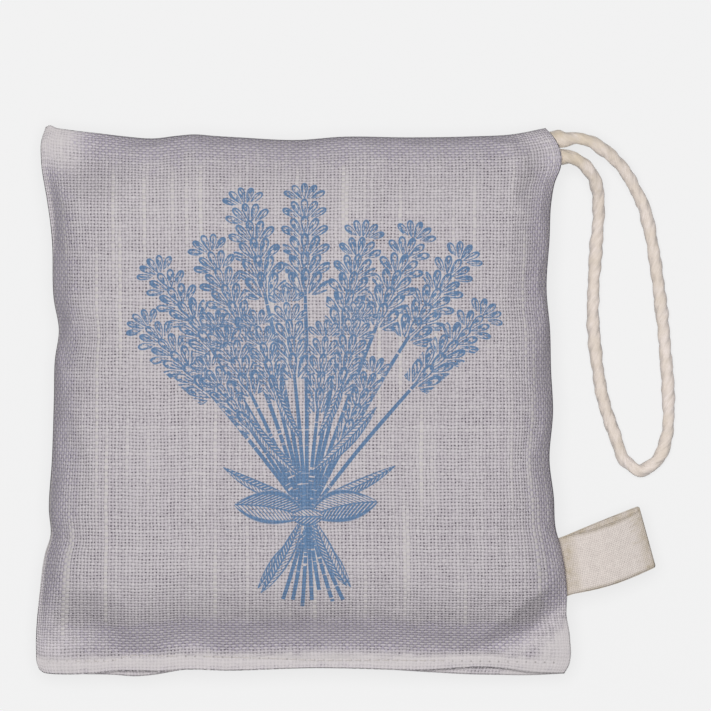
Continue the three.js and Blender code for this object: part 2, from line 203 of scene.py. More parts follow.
# Loose fibres, as small smoothed bumps
fuzz = np.random.default_rng(8).normal(size=groove_radius.shape)
for axis in (0, 1, 0, 1, 0):
    fuzz = (np.roll(fuzz, 1, axis) + 2 * fuzz + np.roll(fuzz, -1, axis)) / 4
groove_radius *= (slack[:, None] + fuzz_share * fuzz) * (cord_diameter / 2) / (strand_offset + strand_radius)
cord_outline = groove_radius[..., None] * np.stack([np.cos(ring_angle), np.sin(ring_angle)], -1)[None]
cord_outline[[0, -1]] *= end_taper
cord_surface = swept(cord_path, cord_outline)
cord_faces = ring_faces(cord_rings, cord_ring_points)[:, ::-1].tolist()
cord_faces.append(list(range(cord_ring_points)))
cord_faces.append(list(range((cord_rings - 1) * cord_ring_points, cord_rings * cord_ring_points))[::-1])
cord_depth = (groove_radius / groove_radius.max()).ravel()
cord_turn = (ring_angle[None] / (2 * math.pi) + lay_turns[:, None]).ravel()
cord = mesh_object("hanging_cord_cotton", cord_surface.reshape(-1, 3), cord_faces, {
    "groove": cord_depth, "along": np.repeat(along_cord, cord_ring_points), "turn": cord_turn})


def linear(code, alpha=1.0):
    """A colour for a shader's socket, from its sRGB hex code."""
    parts = [int(code[i : i + 2], 16) / 255 for i in (1, 3, 5)]
    return [p / 12.92 if p <= 0.04045 else ((p + 0.055) / 1.055) ** 2.4 for p in parts] + [alpha]


def nodes_of(tree):
    """The function that adds nodes to one tree."""

    def node(kind, *values, out=0, inputs=None, **settings):
        """Adds a node, links or sets its inputs in order, and returns one output. A kind in capitals
        is an operation of the Math node. A setting with a capital is an input by its name."""
        if kind.isupper():
            kind, settings["operation"] = "Math", kind
        made = tree.nodes.new(kind if "Node" in kind else "ShaderNode" + kind)
        given = {**dict(enumerate(values)), **(inputs or {})}
        for key, value in settings.items():
            if key[0].isupper():
                given[key.replace("_", " ")] = value
            else:
                setattr(made, key, value)
        for place, value in given.items():
            if isinstance(value, bpy.types.NodeSocket):
                tree.links.new(value, made.inputs[place])
            elif value is not None:
                made.inputs[place].default_value = value
        return made.outputs[out] if made.outputs else made

    return node


def new_material(name):
    """An empty material, and the function that adds its nodes."""
    material = bpy.data.materials.new(name)
    material.use_nodes = True
    material.node_tree.nodes.clear()
    return material, nodes_of(material.node_tree)


# A Mix node for two colours takes its factor at input 0 and the colours at inputs 6 and 7.
colour_mix = dict(data_type="RGBA", out=2)

# Unbleached cotton roving: matte, warm off-white, with fine fibres that follow the twist, soft
# shade between the strands, and tan patches from handling near the seam.
cotton_cord, node = new_material("cotton_cord_undyed")
groove, along, turn = (
    node("Attribute", attribute_name=key, out="Fac") for key in ("groove", "along", "turn"))
fibre_place = node("CombineXYZ", node("MULTIPLY", turn, 9.0), node("MULTIPLY", along, 240.0))
fibres = node("TexNoise", fibre_place, Scale=1.6, Detail=4.0, Roughness=0.65)
blotches = node("TexNoise", node("TexCoord", out="Object"), Scale=190.0, Detail=5.0, Roughness=0.6)
shade = node("MapRange", groove, 0.84, 0.95, 0.76, 1.0)
fibre_tone = node("MapRange", fibres, 0.36, 0.64, 0.35, 1.0)
tone = node("MULTIPLY", shade, fibre_tone)
body_colour = node("Mix", **colour_mix,
                   inputs={0: node("MapRange", blotches, 0.36, 0.62), 6: linear("#f9eee9"),
                           7: linear("#e9dcce")})
cord_colour = node("Mix", **colour_mix, inputs={0: tone, 6: linear("#d8ccbf"), 7: body_colour})
from_middle = node("ABSOLUTE", node("SUBTRACT", along, cord_length / 2))
exit_walked = cord_length / 2 - cord_tail
handled = node("MapRange", from_middle, exit_walked - 14 * mm, exit_walked, 0.0, 0.6)
handled = node("MULTIPLY", handled, node("MapRange", blotches, 0.38, 0.58))
cord_colour = node("Mix", **colour_mix, inputs={0: handled, 6: cord_colour, 7: linear("#d2c3a8")})
height = node("ADD", fibres, blotches)
normal = node("Bump", Strength=0.8, Distance=0.0002, Height=height)
shader = node("BsdfPrincipled", Base_Color=cord_colour, Roughness=0.95, Specular_IOR_Level=0.2, Normal=normal,
              Sheen_Weight=0.5, Sheen_Roughness=0.5)
node("OutputMaterial", shader)
cord.data.materials.append(cotton_cord)

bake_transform(cord)
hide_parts("hanging_cord", "cord_tail_upper", "cord_tail_lower")
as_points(cord_path[::4])

# Linen panels
# Two squares of plain-woven linen, 14 to 15 threads to the centimetre, sewn together round three
# sides with 7 mm turned in. The bottom is turned in 10 mm and closed by a row of stitching near
# the edge. The front carries a one-colour print; the back is plain and lies flat on the table.

cloth_thickness = 0.45 * mm
seam_gap = 0.12 * mm
edge_radius = 0.55 * mm
turned_in = 6.6 * mm
hem_turned_in = 9.5 * mm
flange = 4.1 * mm
corner_droop = 2 * mm
bag_width = 103 * mm
bag_height = 108.5 * mm
bag_bottom = -54.4 * mm
tab_root = np.array(next(j for j in frame["joints"] if j["name"] == "tab_bend")["pos_m"])
tape_width = 11.8 * mm

# How the cloth rises from its seams: the share of its height that stands up as a wall, how soon,
# and the reach and power of the soft shoulder behind it. The hem has no wall.
top_rise = (0.1, 0.7 * mm, 6.9 * mm, 1)
side_seam_rise = (0.24, 1 * mm, 5.1 * mm, 1.18)
hem_rise = (6.6 * mm, 1.7)

# The cloth's small forms: how high or deep they are, how long each is, and how far they reach
pucker_height, pucker_size, pucker_reach = 0.3 * mm, 9 * mm, 7 * mm
lump_height, lump_size = 0.35 * mm, 26 * mm
crumple_height, crumple_size, crumple_reach = 0.22 * mm, 3.2 * mm, 5 * mm
stitch_pull, stitch_pitch, pull_reach = 0.16 * mm, 1.84 * mm, 0.8 * mm
edge_roll, roll_reach = 0.13 * mm, 0.8 * mm
most_sunk = 0.18 * mm

# How far the filling presses the cloth out, the share of that inwards, and where the hem is held
most_pressed, inward_share = 0.6 * mm, 0.3
hem_held_below = -51 * mm
press_steps = 20

# How far the cord and the tape hold the seam open
cord_mouth = 0.9 * cord_diameter
tape_mouth = 0.8 * mm

# The bag's edges in millimetres, the sides from the bottom up, the top and the bottom from the
# left, and the closing row of stitches above the bottom one
left_edge = [
    (-52.9, -53.9), (-53.4, -52.4), (-53.5, -50.2), (-52.7, -38), (-51.6, -30.4), (-50.6, -27.2),
    (-50.9, -22), (-50.3, -12), (-49.9, 0), (-49.7, 8), (-48.9, 14), (-49.9, 20), (-50.3, 32),
    (-50.7, 36), (-51.3, 40), (-52.5, 48), (-52.5, 51.6), (-51.6, 54.6),
]
right_edge = [
    (52.2, -54.8), (53, -53.4), (53.3, -47.4), (52.6, -42.8), (52.7, -38.8), (51.4, -29.2),
    (50.5, -26), (50.04, -19.2), (49.2, -12.4), (49.9, -2), (49.5, 6), (49.3, 14), (48.6, 22),
    (49.2, 32.2), (49.6, 39.8), (50.2, 43.2), (51.5, 46.8), (51.6, 48.3), (51.1, 50.7),
    (49.9, 52.8), (48.4, 54.4),
]
top_edge = [
    (-51.6, 54.6), (-50.8, 55), (-49.6, 54.5), (-47.2, 54.1), (-39.8, 53.2), (-35.7, 52.7),
    (-29.8, 52.3), (-25.5, 52.8), (-21.9, 53.1), (-17.9, 52.8), (-12.9, 52.5), (-0.7, 52),
    (7.3, 52.6), (21, 52.5), (33.3, 52.7), (42.3, 53.2), (48.4, 54.4),
]
bottom_edge = [
    (-52.9, -53.9), (-52.1, -54.5), (-50.5, -54.8), (-48.5, -54.9), (-43.5, -54.9), (-38, -55),
    (-33.5, -55.3), (-30, -55), (-23.9, -54), (-15.5, -54.1), (3.1, -53.6), (15.7, -53.9),
    (25.7, -54.5), (33.3, -54.9), (38.3, -55), (44.9, -55.1), (52.2, -54.8),
]
stitch_line = [
    (-51, -52.3), (-43, -52.2), (-37.6, -52), (-36, -51.4), (-29, -51.15), (-20, -51.3),
    (-6.5, -51.65), (0.5, -51.95), (14, -52), (27, -52.1), (40, -52.3), (50.5, -52.5),
]


def bag_plan(across, up):
    """Places in plan, from shares across and up the bag, blended between its four edges."""
    a, b = across[..., None], up[..., None]
    sides = (1 - a) * smooth_line(left_edge, up) + a * smooth_line(right_edge, up)
    ends = (1 - b) * smooth_line(bottom_edge, across) + b * smooth_line(top_edge, across)
    low = (1 - a) * np.array(left_edge[0]) + a * np.array(right_edge[0])
    high = (1 - a) * np.array(left_edge[-1]) + a * np.array(right_edge[-1])
    return (sides + ends - (1 - b) * low - b * high) * mm


def seam_height(across, up):
    """The height of the seam's plane, which hangs lower at the corners."""
    return seam_level - corner_droop * ((2 * across - 1) * (2 * up - 1)) ** 4


def eased(low, high, value):
    """0 below low, 1 above high, and a smooth step between."""
    t = np.clip((value - low) / (high - low), 0, 1)
    return t * t * (3 - 2 * t)


def along_line(place, points):
    """How far along a line of points in millimetres the nearest place on it is, and how far off."""
    nearest = np.full(place.shape[:-1], np.inf)
    reached = np.zeros(place.shape[:-1])
    walked = 0
    for start, end in zip(np.array(points[:-1], float) * mm, np.array(points[1:], float) * mm):
        step = end - start
        t = np.clip(((place - start) @ step) / (step @ step), 0, 1)
        off = np.linalg.norm(place - start - t[..., None] * step, axis=-1)
        reached = np.where(off < nearest, walked + t * np.linalg.norm(step), reached)
        nearest = np.minimum(nearest, off)
        walked += np.linalg.norm(step)
    return reached, nearest


def from_line(place, points):
    """The distance of places from a line of points in millimetres."""
    return along_line(place, points)[1]


def ripple(place, size, seed):
    """Smooth random waves about size long, from -1 to 1."""
    chance = np.random.default_rng(seed)
    total = np.zeros(place.shape[:-1])
    for _ in range(9):
        angle, phase = chance.uniform(0, 2 * math.pi, 2)
        pace = 2 * math.pi / (size * chance.uniform(0.7, 1.6))
        total += np.sin(place @ (pace * np.array([math.cos(angle), math.sin(angle)])) + phase)
    return total / 5


def mouth(place):
    """How much further the seam is open where the cord and the tape pass through it."""
    beyond = np.maximum(np.abs(place[..., 1] - loop_axis[1]) - cord_spacing / 2, 0)
    near_cord = bell(beyond, 2.2 * mm) * eased(38 * mm, 47 * mm, place[..., 0])
    beyond = np.maximum(np.abs(place[..., 1] - tab_root[1]) - tape_width / 2 + 1 * mm, 0)
    near_tape = bell(beyond, 2 * mm) * eased(40 * mm, 46 * mm, place[..., 0])
    return np.maximum(cord_mouth * near_cord, tape_mouth * near_tape)


def side_rise(distance, reach, power=1.0):
    """How cloth rises from its seam, as a share of its full height."""
    return 1 - np.exp(-((np.maximum(distance, 0) / reach) ** power))


def shoulder(distance, wall, turn, reach, power):
    """A filled side: a share of its height as a wall at the seam, then a long soft shoulder."""
    return wall * side_rise(distance, turn, 1.2) + (1 - wall) * side_rise(distance, reach, power)


def from_corner(across, up, right, top, power=4, share=1):
    """The distance from a corner of the bag. Places as far from it lie along a square at power 4,
    and along a straight line at power 1, where share is how much the way across counts."""
    x = (1 - across if right else across) * bag_width * share
    y = (1 - up if top else up) * bag_height
    return (x**power + y**power) ** (1 / power)


def face_height(side, across, up, crown, lift, ears, hollow, strip):
    """The height of a panel's outer face, at shares across and up the bag."""
    place = bag_plan(across, up)
    from_left, from_right = across * bag_width - strip(place), (1 - across) * bag_width
    from_top, from_bottom = (1 - up) * bag_height, up * bag_height
    low = side_rise(from_bottom - flange, *hem_rise)
    filled = shoulder(from_top, *top_rise) * low
    for distance in (from_left, from_right):
        filled = filled * shoulder(distance, *side_seam_rise)
    for (right, top), (near, far, *kind) in ears.items():
        filled = filled * eased(near * mm, far * mm, from_corner(across, up, right, top, *kind))
    swell = 1 - 0.5 * ((2 * across - 1) ** 2 + (2 * up - 1) ** 2)
    nearest = np.minimum.reduce([from_left, from_right, from_top])
    loose = side_rise(nearest, 1.5 * mm) * low
    puckers = pucker_height * bell(nearest, pucker_reach) * ripple(place, pucker_size, 3 + side)
    lumps = lump_height * filled * ripple(place, lump_size, 11 + side)
    rise = np.maximum(filled * (crown + lift * swell) + loose * (puckers + lumps - hollow(place)), -most_sunk)
    pulled = stitch_pull * bell(from_line(place, stitch_line), pull_reach)
    pulled += edge_roll * bell(from_bottom, roll_reach)
    crumpled = crumple_height * bell(from_corner(across, up, 0, 0), crumple_reach)
    crumpled *= ripple(place, crumple_size, 21 + side)
    thickness = (seam_gap + mouth(place)) / 2 + 2 * edge_radius
    z = seam_height(across, up) + side * (thickness + rise + crumpled - pulled)
    return z if side > 0 else np.maximum(z, 0)


def front_strip(place):
    """How wide a strip lies flat along the left seam, before the filled part rises."""
    x, y = place[..., 0], place[..., 1]
    return (0.7 * mm * bell(y - 39 * mm, 8 * mm) + 0.6 * mm * bell(y + 40 * mm, 13 * mm)) * (x < 0)


def front_hollows(place):
    """The dents in the front: beside the left seam, at the lower right ear and on the right."""
    left_top = [(-51.8, 46.5), (-50.6, 42), (-49.4, 38), (-49, 30), (-48.9, 20), (-48, 8)]
    left_low = [(-50, -26), (-50.7, -36)]
    right_ear = [(52, -42.4), (46, -45), (39.5, -48.2)]
    dents = 1.35 * mm * bell(from_line(place, left_top), 1.6 * mm)
    dents += 0.8 * mm * bell(from_line(place, left_low), 1.1 * mm)
    dents += 0.35 * mm * bell(from_line(place, right_ear), 1.3 * mm)
    return dents + 0.5 * mm * bell(from_line(place, [(44, 18), (47, 30)]), 3 * mm)


def back_hollows(place):
    """The soft fold along the bottom of the back."""
    return 0.5 * mm * bell(from_line(place, [(-30, -40), (0, -42), (34, -39)]), 3 * mm)


def front_slip(place):
    """How far up the front's hem has slipped, which lets the back's edge show below it."""
    x = place[..., 0]
    return mm * (1.1 * bell(x + 34 * mm, 6 * mm) + 1.5 * bell(x - 36 * mm, 10 * mm))


# The ear at each corner, which is (right, top): how far from it the cloth lies flat and where it
# is at full height, in millimetres, and the power and share of from_corner. At the front's lower
# right the filling has slipped away, and the cloth folds along a slant.
lower_right = (1, 0)
slant = (1, 0.75)
front_ears = {(0, 1): (4, 15.5, 4, 0.78), (1, 1): (4.5, 17.5, 4, 1.8),
              lower_right: (13.2, 21.5, *slant), (0, 0): (4, 19)}
back_ears = {(0, 1): (4, 15), (1, 1): (4, 15), lower_right: (6, 16), (0, 0): (6, 16)}
front_shape = dict(crown=8.2 * mm, lift=3.2 * mm, hollow=front_hollows, strip=front_strip, ears=front_ears)


def nowhere(place):
    """Nothing moved or held flat, anywhere on the panel."""
    return np.zeros(place.shape[:-1])


back_shape = dict(crown=6.2 * mm, lift=2.6 * mm, hollow=back_hollows, strip=nowhere, ears=back_ears)


def grid_shares(count, crowding):
    """Shares from 0 to 1 that crowd together towards both ends."""
    t = np.linspace(0, 1, count)
    return t - crowding * np.sin(2 * math.pi * t) / (2 * math.pi)


def grid_of(rows, columns, first=0):
    """A grid of point numbers, row after row from first."""
    return first + np.arange(rows * columns).reshape(rows, columns)


def grid_faces(index):
    """The faces of a grid of point numbers, anticlockwise where the rows go up."""
    return np.stack([index[:-1, :-1], index[:-1, 1:], index[1:, 1:], index[1:, :-1]], -1).reshape(-1, 4)


def rim_of(grid):
    """The entries round the rim of a grid, anticlockwise from its lowest left one."""
    return np.concatenate([grid[0], grid[1:, -1], grid[-1, -2::-1], grid[-2:0:-1, 0]])


def pressed_out(face, side):
    """How a face moves when the filling presses on it from inside and its seams are held: a short
    cloth simulation on every third point, with a little spare cloth so that it puckers."""
    rows, columns = face.shape[:2]
    row, column = (np.linspace(0, count - 1, count // 3).round().astype(int) for count in (rows, columns))
    start = face[np.ix_(row, column)]
    index = grid_of(*start.shape[:2])
    trial = mesh_object("pressed_panel", start.reshape(-1, 3), grid_faces(index)[:, ::side])
    held = trial.vertex_groups.new(name="held")
    held.add(index[start[..., 1] < hem_held_below].tolist() + rim_of(index).tolist(), 1.0, "REPLACE")
    cloth = trial.modifiers.new("cloth", "CLOTH")
    cloth.settings.vertex_group_mass = "held"
    cloth.settings.mass = 0.001
    cloth.settings.use_pressure = True
    cloth.settings.uniform_pressure_force = 1
    cloth.settings.shrink_min = -0.01
    cloth.settings.effector_weights.gravity = 0
    for step in range(1, press_steps + 1):
        bpy.context.scene.frame_set(step)
    depsgraph = bpy.context.evaluated_depsgraph_get()
    result = np.zeros(start.size)
    trial.evaluated_get(depsgraph).data.vertices.foreach_get("co", result)
    moved = result.reshape(start.shape) - start
    bpy.data.objects.remove(trial)
    bpy.context.scene.frame_set(1)
    for axis, count, known in ((0, rows, row), (1, columns, column)):
        moved = np.apply_along_axis(lambda values: np.interp(np.arange(count), known, values), axis, moved)
    return moved


# How much of its own way each thread keeps, and how far the rest is straightened
own_way = 0.12
straightened = 0.85

# How far the cloth turned in behind a face is sure to reach, and where it has surely ended, from
# the left, right, top and bottom edges.
turned_in_ends = [(3 * mm, 7 * mm), (3.5 * mm, 8 * mm), (3.5 * mm, 9 * mm), (9 * mm, 13 * mm)]

# The doubled, pale tips of the corners: their reach in millimetres, how much is covered and how
# much of that is cream.
corner_tips = {(0, 1): (8, 1, 0.75), (1, 1): (8.5, 1, 0.15), (0, 0): (5, 0.6, 0.75)}


def cloth_places(face, across, up):
    """Where the points of a face lie on its cloth: from its middle, and from its left and lower
    edges. The threads are kept nearly straight away from the seams."""
    rows, columns = across.shape
    steps_across = np.linalg.norm(np.diff(face, axis=1), axis=2)
    steps_up = np.linalg.norm(np.diff(face, axis=0), axis=2)
    steps_across = own_way * steps_across + (1 - own_way) * steps_across.mean(axis=0)
    steps_up = own_way * steps_up + (1 - own_way) * steps_up.mean(axis=1, keepdims=True)
    from_left = np.pad(np.cumsum(steps_across, axis=1), ((0, 0), (1, 0)))
    from_bottom = np.pad(np.cumsum(steps_up, axis=0), ((1, 0), (0, 0)))
    cloth = np.dstack([from_left - from_left[:, columns // 2, None],
                       from_bottom - from_bottom[None, rows // 2]])
    for axis, share, size in ((0, across, bag_width), (1, up, bag_height)):
        straight = np.interp(face[..., axis], face[..., axis].mean(axis=axis),
                             cloth[..., axis].mean(axis=axis))
        off_seam = np.minimum(share, 1 - share) * size
        cloth[..., axis] += straightened * eased(1 * mm, 11 * mm, off_seam) * (straight - cloth[..., axis])
    return cloth, from_left, from_bottom


def cloth_covers(face, across, up, strip, from_left, from_bottom):
    """What lies behind the cloth and how it is stretched, from 0 to 1 at each point, for linen():
    doubled where there is more cloth behind, flat where it is pressed and pale, steep where it
    turns down, beside where it does so beside a side seam, and the places of the needle holes."""
    from_right, from_top = from_left[:, -1:] - from_left, from_bottom[-1:] - from_bottom
    from_sides = np.minimum(from_left, from_right)
    beside = eased(-2 * mm, 2 * mm, np.minimum(from_bottom, from_top) - from_sides)
    from_edges = (from_left, from_right, from_top, from_bottom)
    doubled = 1 - np.minimum.reduce([eased(*ends, off) for ends, off in zip(turned_in_ends, from_edges)])
    # Above the stitching the weave stays open, though the cloth is doubled there
    open_row = eased(2.8 * mm, 3.6 * mm, from_bottom) * (1 - eased(4.8 * mm, 6 * mm, from_bottom))
    ear = 1 - eased(11.5 * mm, 17 * mm, from_corner(across, up, *lower_right, *slant))
    doubled *= 1 - 0.85 * open_row * eased(6 * mm, 9 * mm, from_sides) * (1 - ear)
    flat = (1 - eased(1.6 * mm, 4.8 * mm, from_bottom)) * (0.45 + 0.55 * eased(0, 1.8 * mm, from_bottom))
    # The cloth is steep where it turns down from its seams; linen() paints shade there.
    steep = 1 - eased(0.5 * mm, 13 * mm, np.minimum(from_sides, from_top))
    steep = np.maximum(steep, 1 - eased(2 * mm, 6 * mm, np.abs(from_bottom - 8 * mm)))
    steep *= (1 - flat) * eased(0, 1.2 * mm, from_left - 1.4 * strip(face))
    for corner, (reach, cover, cream) in corner_tips.items():
        tip = cover * (1 - eased((reach - 5) * mm, (reach + 5) * mm, from_corner(across, up, *corner)))
        doubled, flat = np.maximum(doubled, tip), np.maximum(flat, cream * tip)
        steep = steep * (1 - (0.5 + 0.5 * cream) * tip)
    steep = steep * (0.35 + 0.65 * eased(8 * mm, 20 * mm, from_corner(across, up, 0, 0)))
    margin = 1 - eased(10.5 * mm, 17 * mm, from_bottom + from_right)
    doubled = doubled * (1 - ear) + ear * np.maximum(0.6, np.maximum(margin, flat))
    flat, steep = np.maximum(flat, ear * np.maximum(0.35, 0.85 * margin)), steep * (1 - 0.9 * ear)
    stitch_along, stitch_off = along_line(face[..., :2], stitch_line)
    return {"doubled": doubled, "flat": flat, "steep": steep, "beside": beside,
            "stitch_along": stitch_along, "stitch_off": stitch_off}


def edge_rings(face, across, up, side):
    """Rings of points round a panel: its rounded edge, then the cloth turned in behind it. Also
    the way outwards at each point."""
    rim_across, rim_up = rim_of(across), rim_of(up)
    edge = rim_of(face)[:, :2]
    along = np.roll(edge, -2, axis=0) - np.roll(edge, 2, axis=0)
    outward = np.column_stack([along[:, 1], -along[:, 0]])
    outward /= np.linalg.norm(outward, axis=1, keepdims=True)
    seam_side = seam_height(rim_across, rim_up) + side * (seam_gap + mouth(edge)) / 2
    bend_rise = (rim_of(face)[:, 2] - seam_side) / 2
    rings = []
    for tilt in np.radians([45, 10, -25, -60, -90]):
        ring = edge + outward * edge_radius * (math.cos(tilt) - 1)
        rings.append(np.column_stack([ring, seam_side + bend_rise * (1 + math.sin(tilt))]))
    for share in (0.35, 1):
        reach, hem_reach = share * turned_in, share * hem_turned_in
        turned_across = np.clip(rim_across, reach / bag_width, 1 - reach / bag_width)
        turned_up = np.clip(rim_up, hem_reach / bag_height, 1 - reach / bag_height)
        turned = bag_plan(turned_across, turned_up)
        height = seam_height(turned_across, turned_up) + side * (seam_gap + mouth(turned)) / 2
        rings.append(np.column_stack([turned, height]))
    return rings, outward


def panel(name, side, shape, slip, columns, rows, crowding):
    """One panel: its face, its rounded edges and the cloth turned in behind them."""
    across, up = np.meshgrid(grid_shares(columns, crowding), grid_shares(rows, crowding))
    face = np.dstack([bag_plan(across, up), face_height(side, across, up, **shape)])
    moved = pressed_out(face, side) * [1, 1, side]
    face += most_pressed * np.tanh(moved / mm) * np.where(moved < 0, inward_share, 1) * [1, 1, side]
    face[..., 1] += slip(face) * bell(up * bag_height, 5 * mm)
    face[..., 2] = np.maximum(face[..., 2], 0)
    cloth, *edge_ways = cloth_places(face, across, up)
    covers = cloth_covers(face, across, up, shape["strip"], *edge_ways)
    rings, outward = edge_rings(face, across, up, side)

    index = grid_of(rows, columns)
    points, faces, places = [face.reshape(-1, 3)], [grid_faces(index)], [cloth.reshape(-1, 2)]
    inner, last, travelled = rim_of(index), rim_of(face), 0
    for k, ring in enumerate(rings):
        travelled = travelled + np.linalg.norm(ring - last, axis=1, keepdims=True)
        outer = rows * columns + k * len(ring) + np.arange(len(ring))
        faces.append(np.stack([inner, outer, np.roll(outer, -1), np.roll(inner, -1)], -1))
        points.append(ring)
        places.append(rim_of(cloth) + outward * travelled)
        inner, last = outer, ring
    maps = {key: np.concatenate([values.ravel(), np.tile(rim_of(values), len(rings))])
            for key, values in covers.items()}
    made = mesh_object(name, np.vstack(points), np.vstack(faces)[:, ::side],
                       {"cloth": np.vstack(places), **maps})
    wall = made.modifiers.new("cloth", "SOLIDIFY")
    wall.thickness = cloth_thickness
    wall.offset = -1
    return made


front = panel("front_panel_linen", 1, front_shape, front_slip, columns=202, rows=214, crowding=0.3)
back = panel("back_panel_linen", -1, back_shape, nowhere, columns=140, rows=146, crowding=0.5)


# The inputs and results of groups that are something other than a number
socket_kinds = {"Place": "Vector", "Line": "Geometry", "Stitches": "Geometry", "Thread": "Material"}


def new_group(name, inputs, outputs, tree="ShaderNodeTree"):
    """A group of nodes: its tree, the function that adds its nodes, its inputs and its results."""
    group = bpy.data.node_groups.new(name, tree)
    for way, sockets in (("INPUT", inputs), ("OUTPUT", outputs)):
        for socket in sockets:
            kind = "NodeSocket" + socket_kinds.get(socket, "Float")
            group.interface.new_socket(socket, in_out=way, socket_type=kind)
    given, result = group.nodes.new("NodeGroupInput"), group.nodes.new("NodeGroupOutput")
    return group, nodes_of(group), given.outputs, result.inputs


# The plain weave, in threads of a given pitch: each thread rises over one neighbour and dips
# under the next, wanders a little, and is thicker in some stretches than in others.
weave, node, given, result = new_group(
    "plain_weave", ("Place", "Warp Pitch", "Weft Pitch", "Thread Width", "Slubs"),
    ("Height", "Hole", "Warp Up", "Slub", "Tone"))
placed = given["Place"]
for scale, detail, reach in (
    (420.0, 2.0, (0.42 * mm, 0.42 * mm, 0)),
    (45.0, 1.0, (0.4 * mm, 0.3 * mm, 0)),
):
    wander = node("TexNoise", given["Place"], Scale=scale, Detail=detail, out="Color")
    wander = node("VectorMath", wander, (0.5, 0.5, 0.5), operation="SUBTRACT")
    wander = node("VectorMath", wander, reach, operation="MULTIPLY")
    placed = node("VectorMath", placed, wander, operation="ADD")
place_x, place_y = (node("SeparateXYZ", placed, out=axis) for axis in "XY")
threads = []
for place, other, pitch, shift, slubs, length in (
    (place_x, place_y, given["Warp Pitch"], 0.0, 1.0, 17.0),
    (place_y, place_x, given["Weft Pitch"], 71.3, 0.2, 70.0),
):
    count = node("DIVIDE", place, pitch)
    number = node("FLOOR", count)
    off_middle = node("SUBTRACT", node("SUBTRACT", count, number), 0.5)
    chance = node("TexWhiteNoise", None, node("ADD", number, shift), noise_dimensions="1D")
    along = node("MULTIPLY", other, length)
    spot = node("CombineXYZ", node("MULTIPLY", number, 7.31), along, shift)
    uneven = node("TexNoise", spot, Scale=1.0, Detail=1.0)
    slub = node("MapRange", uneven, 0.6, 0.68, 0.0, slubs)
    slub = node("MULTIPLY", slub, given["Slubs"])
    spot = node("CombineXYZ", node("MULTIPLY", number, 3.7), node("MULTIPLY", other, 600.0), shift)
    ragged = node("TexNoise", spot, Scale=1.0, Detail=1.0)
    width = node("MapRange", ragged, 0.25, 0.75, -0.09, 0.09, clamp=False)
    width = node("ADD", width, given["Thread Width"])
    width = node("ADD", node("MULTIPLY", chance, 0.08), width)
    width = node("ADD", node("MULTIPLY", slub, 0.26), width)
    edge = node("DIVIDE", node("ABSOLUTE", off_middle), width)
    round_part = node("SUBTRACT", 1.0, node("MULTIPLY", edge, edge), use_clamp=True)
    threads.append(dict(number=number, off_middle=off_middle, chance=chance, slub=slub,
                        gap=node("ROUND", count), round=node("POWER", round_part, 0.5)))
both = node("ADD", threads[0]["number"], threads[1]["number"])
parity = node("FLOORED_MODULO", both, 2.0)
sign = node("MULTIPLY_ADD", parity, -2.0, 1.0)
for thread, crossed, flip in ((threads[0], threads[1], 1.0), (threads[1], threads[0], -1.0)):
    turn = node("MULTIPLY", crossed["off_middle"], math.pi)
    crimp = node("MULTIPLY", node("COSINE", turn), sign)
    crimp = node("MULTIPLY", crimp, 0.5 * flip)
    crimp = node("MULTIPLY_ADD", thread["slub"], 0.3, crimp)
    thread["height"] = node("MULTIPLY_ADD", thread["round"], 0.9, crimp)
top = node("SMOOTH_MAX", threads[0]["height"], threads[1]["height"], 0.1)
covered = node("MAXIMUM", threads[0]["round"], threads[1]["round"])
hole = node("MapRange", covered, 0.05, 0.8, 1.0, 0.0, interpolation_type="SMOOTHSTEP")
openness = node("TexWhiteNoise", node("CombineXYZ", threads[0]["gap"], threads[1]["gap"]),
                noise_dimensions="2D")
hole = node("MULTIPLY", hole, node("MapRange", openness, 0.0, 1.0, 0.35, 1.1))
warp_on_top = node("GREATER_THAN", threads[0]["height"], threads[1]["height"])
warp_up = node("SUBTRACT", threads[0]["height"], threads[1]["height"])
weave.links.new(node("MapRange", warp_up, -0.7, 0.7), result["Warp Up"])
weave.links.new(top, result["Height"])
weave.links.new(hole, result["Hole"])
for value, socket in (("slub", "Slub"), ("chance", "Tone")):
    upper = node("Mix", warp_on_top, None, threads[1][value], threads[0][value])
    weave.links.new(upper, result[socket])

# The print: a generic bunch of lavender in one blue, in the manner of a wood engraving. It is drawn
# round the place where the bunch is tied, in millimetres, so that sprigs fan out by their angle.
tie_place = (1.0, -23.0)

# One flower head: whorls of small buds, one above the next, that get smaller towards the tip.
whorl_step = 7.8
head_group, node, given, result = new_group(
    "lavender_head", ("Along", "Across", "Length", "Chance", "Shift"), ("Ink", "Mask"))
along = node("ADD", given["Along"], given["Shift"])
count = node("DIVIDE", along, whorl_step)
whorl = node("FLOOR", count)
above = node("MULTIPLY_ADD", node("SUBTRACT", count, whorl), whorl_step, 1.1)
base = node("SUBTRACT", node("MULTIPLY", whorl, whorl_step), given["Shift"])
share = node("DIVIDE", base, given["Length"])
reach = node("MapRange", share, 0.0, 1.0, 6.6, 4.0)
inside = node("GREATER_THAN", base, -0.1)
inside = node("MULTIPLY", inside, node("LESS_THAN", share, 0.86))
angle = node("ARCTAN2", given["Across"], above)
away = node("VectorMath", node("CombineXYZ", given["Across"], above), operation="LENGTH", out="Value")
count = node("DIVIDE", angle, 0.46)
bud_number = node("ROUND", count)
off_bud = node("SUBTRACT", count, bud_number)
few = node("LESS_THAN", node("ABSOLUTE", bud_number), 2.5)
shape_up = node("SUBTRACT", node("DIVIDE", away, reach), 0.6)
shape_up = node("DIVIDE", shape_up, 0.4)
shape_side = node("DIVIDE", off_bud, 0.45)
bud_edge = node("VectorMath", node("CombineXYZ", shape_up, shape_side), operation="LENGTH", out="Value")
bud_mask = node("MapRange", bud_edge, 0.94, 1.02, 1.0, 0.0)
outline = node("MapRange", bud_edge, 0.66, 0.78)
